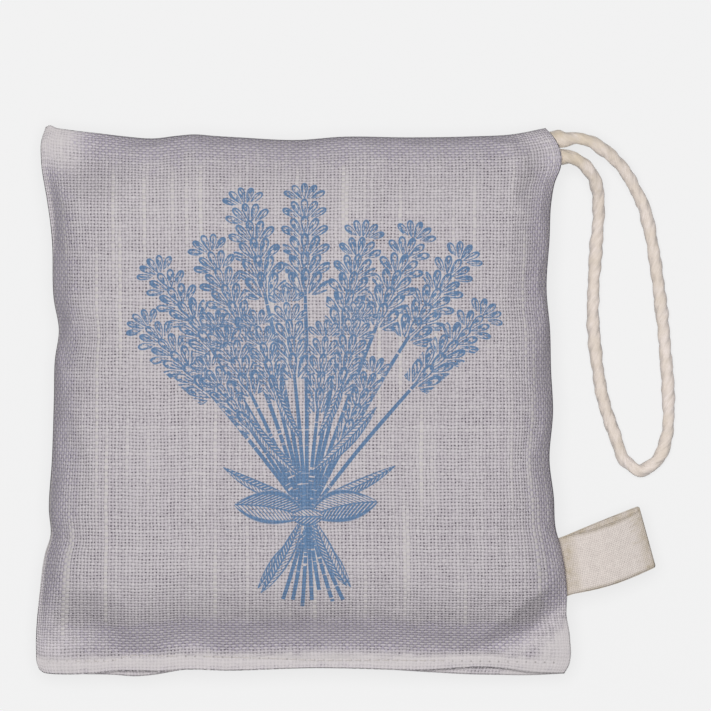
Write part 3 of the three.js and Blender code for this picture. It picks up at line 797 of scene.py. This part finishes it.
hatch_place = node("CombineXYZ", node("MULTIPLY", off_bud, 7.0), node("MULTIPLY", away, 0.9),
                   node("ADD", node("MULTIPLY_ADD", whorl, 5.3, bud_number), given["Chance"]))
hatch = node("TexNoise", hatch_place, Scale=1.0, Detail=2.0)
shaded = node("MULTIPLY_ADD", shape_side, -0.07, hatch)
hatch = node("MapRange", shaded, 0.47, 0.51)
ink = node("MAXIMUM", outline, hatch)
mask = node("MULTIPLY", node("MULTIPLY", bud_mask, few), inside)
head_group.links.new(node("MULTIPLY", ink, mask), result["Ink"])
head_group.links.new(mask, result["Mask"])

# One row of sprigs, spaced by angle round the tie, each with a straight stem up to its head.
row_group, node, given, result = new_group(
    "lavender_row", ("Place", "Spacing", "Turned", "Count", "Nearest", "Head", "Stem End", "Seed"),
    ("Ink", "Mask"))
x, y = (node("SeparateXYZ", given["Place"], out=axis) for axis in "XY")
away = node("VectorMath", given["Place"], operation="LENGTH", out="Value")
angle = node("ARCTAN2", x, y)
droop = node("MapRange", away, 0.0, 70.0, 1.08, 0.9)
angle = node("MULTIPLY", angle, droop)
angle = node("ADD", angle, given["Turned"])
count = node("DIVIDE", angle, given["Spacing"])
number = node("ROUND", count)
chance = node("TexWhiteNoise", None, node("ADD", number, given["Seed"]), noise_dimensions="1D")
off = node("SUBTRACT", count, number)
off = node("ADD", off, node("MULTIPLY_ADD", chance, 0.16, -0.08))
across = node("MULTIPLY", node("MULTIPLY", off, given["Spacing"]), away)
lean = node("MULTIPLY", node("MULTIPLY", number, number), -0.55)
start = node("ADD", node("MULTIPLY_ADD", chance, 8.0, lean), given["Nearest"])
head_along = node("SUBTRACT", away, start)
few = node("LESS_THAN", node("ABSOLUTE", number), given["Count"])
few = node("MULTIPLY", few, node("GREATER_THAN", y, 0.0))
head_chance = node("MULTIPLY", chance, 31.0)
heads = [node("Group", head_along, across, given["Head"], head_chance, shift,
              node_tree=head_group).node for shift in (whorl_step / 2, 0.0)]
head_ink = node("Mix", heads[1].outputs["Mask"], None, heads[0].outputs["Ink"], heads[1].outputs["Ink"])
head_mask = node("MAXIMUM", heads[0].outputs["Mask"], heads[1].outputs["Mask"])
stem_width = node("MapRange", head_along, -10.0, 14.0, 0.42, 0.2)
stem = node("DIVIDE", node("ABSOLUTE", across), stem_width)
stem_mask = node("MapRange", stem, 0.9, 1.1, 1.0, 0.0)
stem_mask = node("MULTIPLY", stem_mask, node("LESS_THAN", head_along, 12.0))
stem_end = node("MULTIPLY_ADD", chance, 4.0, given["Stem End"])
stem_mask = node("MULTIPLY", stem_mask, node("LESS_THAN", away, stem_end))
stem_light = node("TexNoise", node("CombineXYZ", away, number), Scale=1.3, Detail=2.0)
stem_ink = node("MULTIPLY", node("MapRange", stem_light, 0.62, 0.66, 1.0, 0.0), stem_mask)
ink = node("Mix", head_mask, None, stem_ink, head_ink)
mask = node("MAXIMUM", head_mask, stem_mask)
row_group.links.new(node("MULTIPLY", ink, few), result["Ink"])
row_group.links.new(node("MULTIPLY", mask, few), result["Mask"])

# One narrow leaf or end of ribbon, from its root out along its own angle, with a line down its
# middle and fine hatching on one side of it.
leaf_group, node, given, result = new_group(
    "narrow_leaf", ("Place", "Root X", "Root Y", "Turned", "Length", "Width", "Bend"), ("Ink", "Mask"))
root = node("CombineXYZ", given["Root X"], given["Root Y"])
local = node("VectorMath", given["Place"], root, operation="SUBTRACT")
local = node("VectorRotate", local, Angle=given["Turned"], rotation_type="Z_AXIS")
across, along = (node("SeparateXYZ", local, out=axis) for axis in "XY")
share = node("DIVIDE", along, given["Length"])
bent = node("MULTIPLY", node("MULTIPLY", share, share), given["Bend"])
across = node("SUBTRACT", across, bent)
half = node("SINE", node("MULTIPLY", share, math.pi))
half = node("POWER", node("MAXIMUM", half, 0.02), 0.8)
half = node("MULTIPLY", half, given["Width"])
leaf_edge = node("DIVIDE", node("ABSOLUTE", across), half)
inside = node("COMPARE", share, 0.5, 0.49)
mask = node("MULTIPLY", node("MapRange", leaf_edge, 0.92, 1.04, 1.0, 0.0), inside)
rim = node("MapRange", leaf_edge, 0.68, 0.76)
midrib = node("MapRange", node("ABSOLUTE", across), 0.12, 0.2, 1.0, 0.0)
slant = node("MULTIPLY_ADD", node("ABSOLUTE", across), 1.3, along)
lines = node("SINE", node("MULTIPLY", slant, 7.5))
side = node("MapRange", across, -0.3, 0.5, -0.35, 0.75)
hatch = node("MapRange", node("ADD", lines, side), 0.0, 0.3)
ink = node("MAXIMUM", node("MAXIMUM", rim, midrib), hatch)
leaf_group.links.new(node("MULTIPLY", ink, mask), result["Ink"])
leaf_group.links.new(mask, result["Mask"])

# Rows of sprigs from the back of the bunch to the front: which way up, the spacing and turn in
# radians, how many each side of the middle, and in millimetres how far out the nearest head starts,
# how long a head is and where the stems end. The first row is the cut ends below the tie.
sprig_rows = [
    (-1, 0.115, 0.05, 3.4, 90.0, 1.0, 15.0, 5.0),
    (1, 0.17, 0.0, 4.5, 38.0, 27.0, 90.0, 3.0),
    (1, 0.17, 0.085, 3.9, 21.0, 20.0, 90.0, 17.0),
]
# Root across and up from the tie, turn in degrees, length, half width and bend, in millimetres
leaves = [
    (-1, 8, -52, 17, 1.2, 3), (1, 9, 54, 18, 1.3, -3), (-1, 3, -78, 17, 1.3, 3.5), (1, 3, 76, 18, 1.3, -3),
    (-1, 15, -34, 14, 1.0, 2), (2, 16, 33, 13, 1.0, -2), (0, -3, -128, 15, 1.3, -3), (0, -3, 131, 14, 1.2, 3),
    (-1.2, -0.5, -160, 17, 1.5, 2.5), (1.2, -0.5, 162, 15, 1.5, -2),
    (-0.5, 0, -68, 14, 3.6, -3), (0.5, 0, 65, 13.5, 3.5, 3), (-3.4, 0, 90, 6.8, 2, 0),
]


def printed_bunch(node, cloth):
    """How much ink there is at each place on the cloth, a little worn away."""
    centred = node("VectorMath", cloth, (1000.0, 1000.0, 0.0), operation="MULTIPLY")
    centred = node("VectorMath", centred, (*tie_place, 0), operation="SUBTRACT")
    ink = 0.0
    for way_up, *row in sprig_rows:
        turned = node("VectorMath", centred, (way_up, way_up, 0), operation="MULTIPLY")
        drawn = node("Group", turned, *row, node_tree=row_group).node
        ink = node("Mix", drawn.outputs["Mask"], None, ink, drawn.outputs["Ink"])
    for across, up, turned, *size in leaves:
        drawn = node("Group", centred, across, up, math.radians(turned), *size, node_tree=leaf_group).node
        ink = node("Mix", drawn.outputs["Mask"], None, ink, drawn.outputs["Ink"])
    worn = node("TexNoise", cloth, Scale=2600.0, Detail=2.0)
    return node("MULTIPLY", ink, node("MapRange", worn, 0.3, 0.45, 0.72, 1.0))


def needle_holes(node, patches):
    """The needle holes of the closing seam, about 0.4 mm wide, some more closed than others."""
    along, off_line = (
        node("Attribute", attribute_name=key, out="Fac") for key in ("stitch_along", "stitch_off"))
    stitches = node("DIVIDE", along, stitch_pitch)
    off = node("MULTIPLY", node("SUBTRACT", node("ROUND", stitches), stitches), stitch_pitch)
    off = node("VectorMath", node("CombineXYZ", off, off_line), operation="LENGTH", out="Value")
    hole = node("MapRange", off, 0.1 * mm, 0.27 * mm, 0.7, 0.0)
    return node("MULTIPLY", hole, node("MapRange", patches, 0.35, 0.6, 0.5, 1.0))


def linen(name, printed):
    """Washed half-bleached linen: matte lilac-grey threads with lighter slubs in the warp. The dark
    filling shows through the gaps of a single layer, and not where more cloth lies behind it."""
    material, node = new_material(name)
    cloth = node("UVMap", uv_map="cloth")
    woven = node("Group", cloth, Warp_Pitch=0.71 * mm, Weft_Pitch=0.67 * mm, Thread_Width=0.31, Slubs=1.0,
                 node_tree=weave).node
    frayed = node("TexNoise", cloth, Scale=420.0, Detail=3.0, Roughness=0.6)
    frayed = node("MapRange", frayed, 0.25, 0.75, -0.4, 0.4)
    covers = {}
    for key in ("doubled", "flat", "steep"):
        cover = node("ADD", node("Attribute", attribute_name=key, out="Fac"), frayed)
        covers[key] = node("MapRange", cover, 0.1, 0.9, interpolation_type="SMOOTHSTEP")
    doubled, flat, steep = covers.values()
    beside = node("Attribute", attribute_name="beside", out="Fac")
    patches = node("TexNoise", cloth, Scale=90.0, Detail=4.0, Roughness=0.65)
    streak_place = node("VectorMath", cloth, (900.0, 30.0, 1.0), operation="MULTIPLY")
    streaks = node("TexNoise", streak_place, Scale=1.0, Detail=3.0)
    lightness = node("MapRange", woven.outputs["Tone"], 0.0, 1.0, 0.0, 0.5)
    lightness = node("ADD", lightness, node("MapRange", streaks, 0.35, 0.7, 0.0, 0.35))
    ground = node("Mix", **colour_mix, inputs={0: lightness, 6: linear("#c7c0c6"), 7: linear("#d5d0d2")})
    cream = node("MAXIMUM", node("MULTIPLY", flat, 0.75), woven.outputs["Slub"])
    ground = node("Mix", **colour_mix, inputs={0: cream, 6: ground, 7: linear("#cec9c8")})
    # Painted shade of the weave: the lower parts of the threads are darkened in the colour, less where the
    # cloth is flat and pale. The same shade also darkens the print.
    low = node("Mix", cream, None, 0.84, 0.95)
    painted_weave_shade = node("MapRange", woven.outputs["Height"], -0.1, 1.25, low, 1.03, clamp=False)
    # Painted shade: where the cloth is neither steep nor doubled, its colour darkens towards the bottom of
    # the bag.
    painted_bottom_shade = node("MapRange", node("SeparateXYZ", cloth, out="Y"), -46 * mm, -15 * mm, 0.09, 0.032)
    held = node("MAXIMUM", steep, doubled)
    painted_bottom_shade = node("MULTIPLY", painted_bottom_shade, node("SUBTRACT", 1.0, held))
    painted_weave_shade = node("MULTIPLY", painted_weave_shade, node("SUBTRACT", 1.0, painted_bottom_shade))
    ground = node("Mix", **colour_mix, blend_type="MULTIPLY", inputs={0: 1.0, 6: ground, 7: painted_weave_shade})
    # Painted shade on the slopes: where the cloth turns down, the threads lying under the crowns are darkened
    # towards violet, and the crowns stay light.
    crown = node("Mix", beside, None, woven.outputs["Warp Up"],
                 node("SUBTRACT", 1.0, woven.outputs["Warp Up"]))
    painted_slope_shade = node("MULTIPLY", node("MapRange", crown, 0.2, 0.9, 0.06, 0.44), steep)
    ground = node("Mix", **colour_mix, inputs={0: painted_slope_shade, 6: ground, 7: linear("#82779c")})
    gap = node("Mix", doubled, None, node("MapRange", patches, 0.32, 0.68, 0.58, 1.0), 0.3)
    gap = node("Mix", flat, None, gap, 0.05)
    gap = node("MULTIPLY", woven.outputs["Hole"], gap)
    if printed:
        ink = printed_bunch(node, cloth)
        clear = node("SUBTRACT", 1.0, node("MULTIPLY", ink, 0.75))
        gap = node("MULTIPLY", gap, clear)
        inked = node("Mix", **colour_mix, blend_type="MULTIPLY",
                     inputs={0: 0.5, 6: linear("#587fa8"), 7: painted_weave_shade})
        ground = node("Mix", **colour_mix, inputs={0: node("MULTIPLY", ink, 0.93), 6: ground, 7: inked})
    colour = node("Mix", **colour_mix, inputs={0: gap, 6: ground, 7: linear("#4f4652")})
    holes = needle_holes(node, patches)
    colour = node("Mix", **colour_mix, inputs={0: holes, 6: colour, 7: linear("#6f6a67")})
    relief = node("Mix", flat, None, woven.outputs["Height"], node("MULTIPLY", woven.outputs["Height"], 0.22))
    normal = node("Bump", Strength=1.0, Distance=0.00015, Height=relief)
    shader = node("BsdfPrincipled", Base_Color=colour, Roughness=0.95, Specular_IOR_Level=0.15, Normal=normal,
                  Sheen_Weight=0.12, Sheen_Roughness=0.6)
    node("OutputMaterial", shader)
    return material


for piece, cad_node, slot_name in (
    (front, "front_panel", "printed_linen"),
    (back, "back_panel", "plain_linen"),
):
    piece.data.materials.append(linen(slot_name + "_half_bleached", slot_name == "printed_linen"))
    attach(piece, "sachet")
    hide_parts(cad_node)

# Lavender filling
# Loose dried lavender buds that fill the bag. The cloth hides them, apart from their dark colour
# in the gaps of the weave.

fill_gap = 0.35 * mm
grain_size, grain_height = 2.6 * mm, 0.1 * mm
least_fill = 0.1 * mm
fill_left, fill_bottom, fill_top = 4.2 * mm, 7.4 * mm, 4.4 * mm
fill_across, fill_up = np.meshgrid(grid_shares(110, crowding=0.4), grid_shares(112, crowding=0.4))
fill_across = (fill_left + fill_across * (bag_width - 2 * fill_left)) / bag_width
fill_up = (fill_bottom + fill_up * (bag_height - fill_bottom - fill_top)) / bag_height
fill_plan = bag_plan(fill_across, fill_up)
grain = grain_height * ripple(fill_plan, grain_size, 5)
skin = cloth_thickness + fill_gap + 0.15 * mm
upper = face_height(1, fill_across, fill_up, **front_shape) - skin + grain
lower = np.maximum(face_height(-1, fill_across, fill_up, **back_shape) + skin + grain, skin)
middle = (upper + lower) / 2
upper, lower = np.maximum(upper, middle + least_fill / 2), np.minimum(lower, middle - least_fill / 2)
fill_points = np.vstack([np.dstack([fill_plan, level]).reshape(-1, 3) for level in (upper, lower)])
upper_index = grid_of(*upper.shape)
lower_index = grid_of(*lower.shape, first=upper.size)
upper_rim, lower_rim = rim_of(upper_index), rim_of(lower_index)
fill_side = np.stack([upper_rim, lower_rim, np.roll(lower_rim, -1), np.roll(upper_rim, -1)], -1)
fill_faces = np.vstack([grid_faces(upper_index), grid_faces(lower_index.T), fill_side])
filling = mesh_object("lavender_buds", fill_points, fill_faces)

# Dried lavender: dull violet-grey buds with brown and straw-coloured bits, rough and matte.
buds, node = new_material("dried_lavender_buds")
place = node("TexCoord", out="Object")
bud = node("TexVoronoi", place, Scale=420.0, Randomness=1.0).node
bud_tint = node("SeparateColor", bud.outputs["Color"])
colours = node("ValToRGB", bud_tint).node
colours.color_ramp.elements[0].color = linear("#5b5078")
colours.color_ramp.elements[1].color = linear("#8a7f6a")
middle_stop = colours.color_ramp.elements.new(0.7)
middle_stop.color = linear("#6f6487")
normal = node("Bump", Strength=1.0, Distance=0.0006, Height=bud.outputs["Distance"], invert=True)
shader = node("BsdfPrincipled", Base_Color=colours.outputs["Color"], Roughness=0.9, Specular_IOR_Level=0.2,
              Normal=normal)
node("OutputMaterial", shader)
filling.data.materials.append(buds)
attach(filling, "sachet")
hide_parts("lavender_filling")

# Stitching
# Undyed sewing thread, a needle thread on one side and a bobbin thread on the other. The bottom is
# closed through all its layers near the edge. The side seams are sewn inside, before turning.

thread_width = 0.24 * mm
thread_proud = 0.02 * mm
stitch_share = 0.84

# A row of stitches: one slim bead for each, sunk at both ends, set along a line of points.
stitching, node, given, result = new_group(
    "row_of_stitches", ("Line", "Stitch Pitch", "Thread Width", "Thread"), ("Stitches",), "GeometryNodeTree")
line = node("GeometryNodeMeshToCurve", given["Line"])
line = node("GeometryNodeResampleCurve", line, None, None, given["Stitch Pitch"], mode="LENGTH")
turned = node("FunctionNodeAlignRotationToVector", None, None, node("GeometryNodeInputTangent"), axis="X")
half = node("MULTIPLY", given["Stitch Pitch"], stitch_share / 2)
radius = node("MULTIPLY", given["Thread Width"], 0.5)
bead = node("GeometryNodeMeshUVSphere", 6, 6, 1.0)
bead = node("GeometryNodeTransform", bead, None, (0, math.pi / 2, 0))
bead = node("GeometryNodeTransform", bead, None, None, node("CombineXYZ", half, radius, radius))
row = node("GeometryNodeInstanceOnPoints", line, None, bead, None, None, turned)
row = node("GeometryNodeRealizeInstances", row)
row = node("GeometryNodeSetMaterial", row, None, given["Thread"])
row = node("GeometryNodeSetShadeSmooth", row)
stitching.links.new(row, result["Stitches"])

# Spun polyester sewing thread: fine plies twisted together, slightly glossy, in the cloth's colour.
thread, node = new_material("sewing_thread_spun")
plies = node("TexWave", node("TexCoord", out="Object"), 2400.0, 3.0, bands_direction="DIAGONAL")
thread_colour = node("Mix", **colour_mix, inputs={0: plies, 6: linear("#bdb6b2"), 7: linear("#d3ceca")})
normal = node("Bump", Strength=0.6, Distance=0.00004, Height=plies)
shader = node("BsdfPrincipled", Base_Color=thread_colour, Roughness=0.6, Specular_IOR_Level=0.35,
              Normal=normal)
node("OutputMaterial", shader)


def stitch_row(name, points, cad_node):
    """Sets stitches along a line of points and fixes them to the bag, in place of a CAD node."""
    mesh = bpy.data.meshes.new(name + "_line")
    mesh.from_pydata(points.tolist(), [(k, k + 1) for k in range(len(points) - 1)], [])
    drawn = bpy.data.objects.new(name + "_line", mesh)
    bpy.context.scene.collection.objects.link(drawn)
    nodes = drawn.modifiers.new("stitches", "NODES")
    nodes.node_group = stitching
    for socket, value in (("Stitch Pitch", stitch_pitch), ("Thread Width", thread_width), ("Thread", thread)):
        nodes[stitching.interface.items_tree[socket].identifier] = value
    depsgraph = bpy.context.evaluated_depsgraph_get()
    mesh = bpy.data.meshes.new_from_object(drawn.evaluated_get(depsgraph))
    bpy.data.objects.remove(drawn)
    row = bpy.data.objects.new(name, mesh)
    bpy.context.scene.collection.objects.link(row)
    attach(row, "sachet")
    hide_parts(cad_node)


closing = smooth_line(stitch_line, np.linspace(0.004, 0.996, 180)) * mm
closing_across = (closing[:, 0] - left_edge[0][0] * mm) / ((right_edge[0][0] - left_edge[0][0]) * mm)
closing_level = seam_height(closing_across, (closing[:, 1] - bag_bottom) / bag_height)
closing_off = seam_gap / 2 + 2 * edge_radius - stitch_pull + thread_proud

# The seam on three sides, from its lower left end up, across and down again
seam_inset = 1.2 * mm
side_points = 90
seam_up = np.linspace(0.05, 0.975, side_points)
seam_across = np.linspace(0.016, 0.984, side_points)
left_place = np.full(side_points, seam_inset / bag_width)
top_place = np.full(side_points, 1 - seam_inset / bag_height)
seam_across = np.concatenate([left_place, seam_across, 1 - left_place])
seam_up = np.concatenate([seam_up, top_place, seam_up[::-1]])
seam = bag_plan(seam_across, seam_up)
seam_off = (seam_gap + mouth(seam)) / 2 + edge_radius
for row_name, cad_name, line, level, off in (
    ("closing_seam", "closing", closing, closing_level, closing_off),
    ("side_seam", "seam", seam, seam_height(seam_across, seam_up), seam_off),
):
    for which, side in (("needle", 1), ("bobbin", -1)):
        points = np.column_stack([line, level + side * off])
        stitch_row(f"{row_name}_{which}", points, f"{cad_name}_{which}_thread")

# Tape tab
# A length of woven cotton tape, 12 mm wide, folded in half. Its two ends are caught in the side
# seam and it stands out from it askew. The upper layer bows away a little from the lower one.

tape_thickness = 0.4 * mm
tab_length = 16.6 * mm
tab_tail = 6.4 * mm
tab_gap = 1.5 * mm
fold_radius = 0.42 * mm
tab_bow = 0.75 * mm
lower_bow = 0.2 * mm
lower_gap = 0.15 * tab_gap
tab_slip = 0.5 * mm
tab_droop = 1.6 * mm
tab_curl = 0.25 * mm
fold_pinch = 0.4


def way_at(degrees):
    """A direction in plan, turned anticlockwise from the way to the right."""
    return np.array([math.cos(math.radians(degrees)), math.sin(math.radians(degrees))])


tab_way = way_at(19.7)
seam_way = np.array([-0.1229, 0.9924])
fold_way = way_at(90 + 15.3)

# The tape's middle line: out along the upper layer, round the fold and back along the lower one
run = np.concatenate([np.linspace(-tab_tail, 0, 7)[:-1], np.linspace(0, tab_length - fold_radius, 26)])
bulge = np.sin(math.pi * np.clip(run / (tab_length - fold_radius), 0, 1))
fold_share = np.clip(run / tab_length, 0, 1)
fold_turn = np.radians(np.linspace(90, -90, 9))[1:-1]
layer_rise = (tape_thickness + seam_gap) / 2 + fold_radius * fold_pinch * fold_share
upper_rise = layer_rise + tab_gap / 2 * bulge
lower_rise = -(layer_rise + lower_gap * bulge)
fold_along = tab_length - fold_radius + fold_radius * np.cos(fold_turn)
fold_rise = ((tape_thickness + seam_gap) / 2 + fold_radius * fold_pinch) * np.sin(fold_turn)
tape_along = np.concatenate([run, fold_along, run[::-1]])
tape_rise = np.concatenate([upper_rise, fold_rise, lower_rise[::-1]])
tape_side = np.concatenate([-tab_bow * bulge - tab_slip * fold_share**2, tab_slip * np.sin(-fold_turn),
                            (tab_slip * fold_share**2 + lower_bow * bulge)[::-1]])
tape_droop = tab_droop * np.maximum(tape_along / tab_length, 0) ** 2

# Its width, from the upper edge to the lower one, lies along the seam at the root and turns to the
# fold's way at the end. Its edges curl down on the upper layer, and up a little on the lower one.
beside = np.linspace(0.5, -0.5, 15)
share = np.clip(tape_along / tab_length, -0.4, 1)[:, None, None]
root_place = tab_root[:2] + tape_along[:, None, None] * tab_way
turned_way = (1 - share) * seam_way + share * fold_way
tape_plan = root_place + (beside[None, :, None] * tape_width + tape_side[:, None, None]) * turned_way
curl_share = np.concatenate([bulge, 0 * fold_turn, -0.3 * bulge[::-1]])
curl = tab_curl * (2 * np.abs(beside)) ** 4 * curl_share[:, None]
tape_points = np.dstack([tape_plan, (tab_root[2] + tape_rise - tape_droop)[:, None] - curl])
tape_rows, tape_columns = curl.shape
tape_walked = walked_along(tape_points[:, tape_columns // 2])
past_fold = tape_walked - tape_walked[-1] / 2
tape_cloth = np.dstack(np.broadcast_arrays(past_fold[:, None], beside[None] * tape_width))
tape_faces = grid_faces(grid_of(tape_rows, tape_columns))[:, ::-1]
tab = mesh_object("folded_tape_tab", tape_points.reshape(-1, 3), tape_faces, {
    "cloth": tape_cloth.reshape(-1, 2),
    "from_fold": np.repeat(np.abs(past_fold), tape_columns),
    "from_side": np.tile((0.5 - np.abs(beside)) * tape_width, tape_rows),
    "lower_layer": np.repeat(past_fold > 0.6 * mm, tape_columns),
})
wall = tab.modifiers.new("tape", "SOLIDIFY")
wall.thickness = tape_thickness
wall.offset = 0

# Woven cotton tape: fine plain weave in unbleached cream, tan along its edges. Shade is painted in the same
# tan at its fold, in dark crease lines near the fold, on its lower layer under the upper one and where it
# goes into the seam.
# Its weave is drawn at 0.36 mm, half as coarse again as a real one, so that it shows.
tape, node = new_material("cotton_tape_woven")
cloth = node("UVMap", uv_map="cloth")
woven = node("Group", cloth, Warp_Pitch=0.36 * mm, Weft_Pitch=0.36 * mm, Thread_Width=0.42, Slubs=0.3,
             node_tree=weave).node
from_side, from_fold, lower_layer = (
    node("Attribute", attribute_name=key, out="Fac") for key in ("from_side", "from_fold", "lower_layer"))
mottle = node("TexNoise", cloth, Scale=620.0, Detail=5.0, Roughness=0.65)
edge_tan = node("MapRange", from_side, 0.9 * mm, 0.1 * mm, 0.0, 0.75)
# Painted shade, in the tan colour: at the fold, where the tape goes into the seam, and on the lower layer
# under the upper one.
painted_fold_shade = node("MapRange", from_fold, 3 * mm, 0.3 * mm, 0.0, 0.85)
painted_seam_shade = node("MapRange", from_fold, 14.6 * mm, 17 * mm, 0.0, 0.65)
painted_under_shade = node("MULTIPLY", lower_layer, 0.6)
tan_and_painted_shade = node("MAXIMUM", node("MAXIMUM", edge_tan, painted_fold_shade), painted_seam_shade)
# Painted shade: dark crease lines near the fold.
wrinkle_place = node("VectorMath", cloth, (260.0, 1100.0, 1.0), operation="MULTIPLY")
painted_crease_shade = node("TexNoise", wrinkle_place, Scale=1.0, Detail=3.0, Distortion=0.6)
painted_crease_shade = node("MapRange", painted_crease_shade, 0.5, 0.62, 0.0, 0.9)
painted_crease_shade = node("MULTIPLY", painted_crease_shade, node("MapRange", from_fold, 4.2 * mm, 1 * mm))
tan_and_painted_shade = node("MAXIMUM", node("MAXIMUM", tan_and_painted_shade, painted_under_shade), painted_crease_shade)
tan_and_painted_shade = node("MULTIPLY", tan_and_painted_shade, node("MapRange", mottle, 0.35, 0.65, 0.35, 1.3))
tape_colour = node("Mix", **colour_mix, inputs={0: mottle, 6: linear("#d0c5bf"), 7: linear("#ebe3db")})
tape_colour = node("Mix", **colour_mix, inputs={0: tan_and_painted_shade, 6: tape_colour, 7: linear("#b8ab95")})
# Painted shade of the weave: the lower parts of the threads are darkened in the colour.
painted_weave_shade = node("MapRange", woven.outputs["Height"], -0.1, 1.2, 0.82, 1.03, clamp=False)
tape_colour = node("Mix", **colour_mix, blend_type="MULTIPLY", inputs={0: 1.0, 6: tape_colour, 7: painted_weave_shade})
normal = node("Bump", Strength=1.0, Distance=0.00008, Height=woven.outputs["Height"])
shader = node("BsdfPrincipled", Base_Color=tape_colour, Roughness=0.9, Specular_IOR_Level=0.2, Normal=normal,
              Sheen_Weight=0.1, Sheen_Roughness=0.5)
node("OutputMaterial", shader)
tab.data.materials.append(tape)
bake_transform(tab)
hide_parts("label_tab", "label_tab_sewn_end")

# Floor and light
# A pale sweep of paper that the camera sees plain, with the bag's soft shadow, under one broad
# lamp above and a little to the upper left, and a dim pale sky.

floor_size = 4.0
floor_corners = np.array([[-1, -1, 0], [1, -1, 0], [1, 1, 0], [-1, 1, 0]]) * floor_size / 2
floor = mesh_object("floor", floor_corners, [[0, 1, 2, 3]])
paper_seen = linear("#f2f2f2")
paper, node = new_material("pale_paper_sweep")
seen = node("LightPath").node.outputs
seen = node("ADD", node("ADD", seen["Is Camera Ray"], seen["Is Glossy Ray"]), seen["Is Transmission Ray"],
            use_clamp=True)
floor_colour = node("Mix", **colour_mix, inputs={0: seen, 6: linear("#9a9a9c"), 7: paper_seen})
floor_shader = node("MixShader", node("MULTIPLY", seen, 0.85), node("BsdfDiffuse", floor_colour),
                    node("Emission", paper_seen, 1.0))
node("OutputMaterial", floor_shader)
floor.data.materials.append(paper)

key_place = (-0.05, 0.1, 1.5)
key_data = bpy.data.lights.new("key", "AREA")
key_data.shape = "DISK"
key_data.size = 1.0
key_data.energy = 21
key = bpy.data.objects.new("key", key_data)
key.location = key_place
key.rotation_euler = (-math.atan2(key_place[1], key_place[2]), math.atan2(key_place[0], key_place[2]), 0)
bpy.context.scene.collection.objects.link(key)
world = bpy.data.worlds.new("world")
bpy.context.scene.world = world
world.use_nodes = True
sky = world.node_tree.nodes["Background"].inputs
sky["Color"].default_value = linear("#f4f1f7")
sky["Strength"].default_value = 0.16
bpy.context.scene.view_settings.view_transform = "Standard"
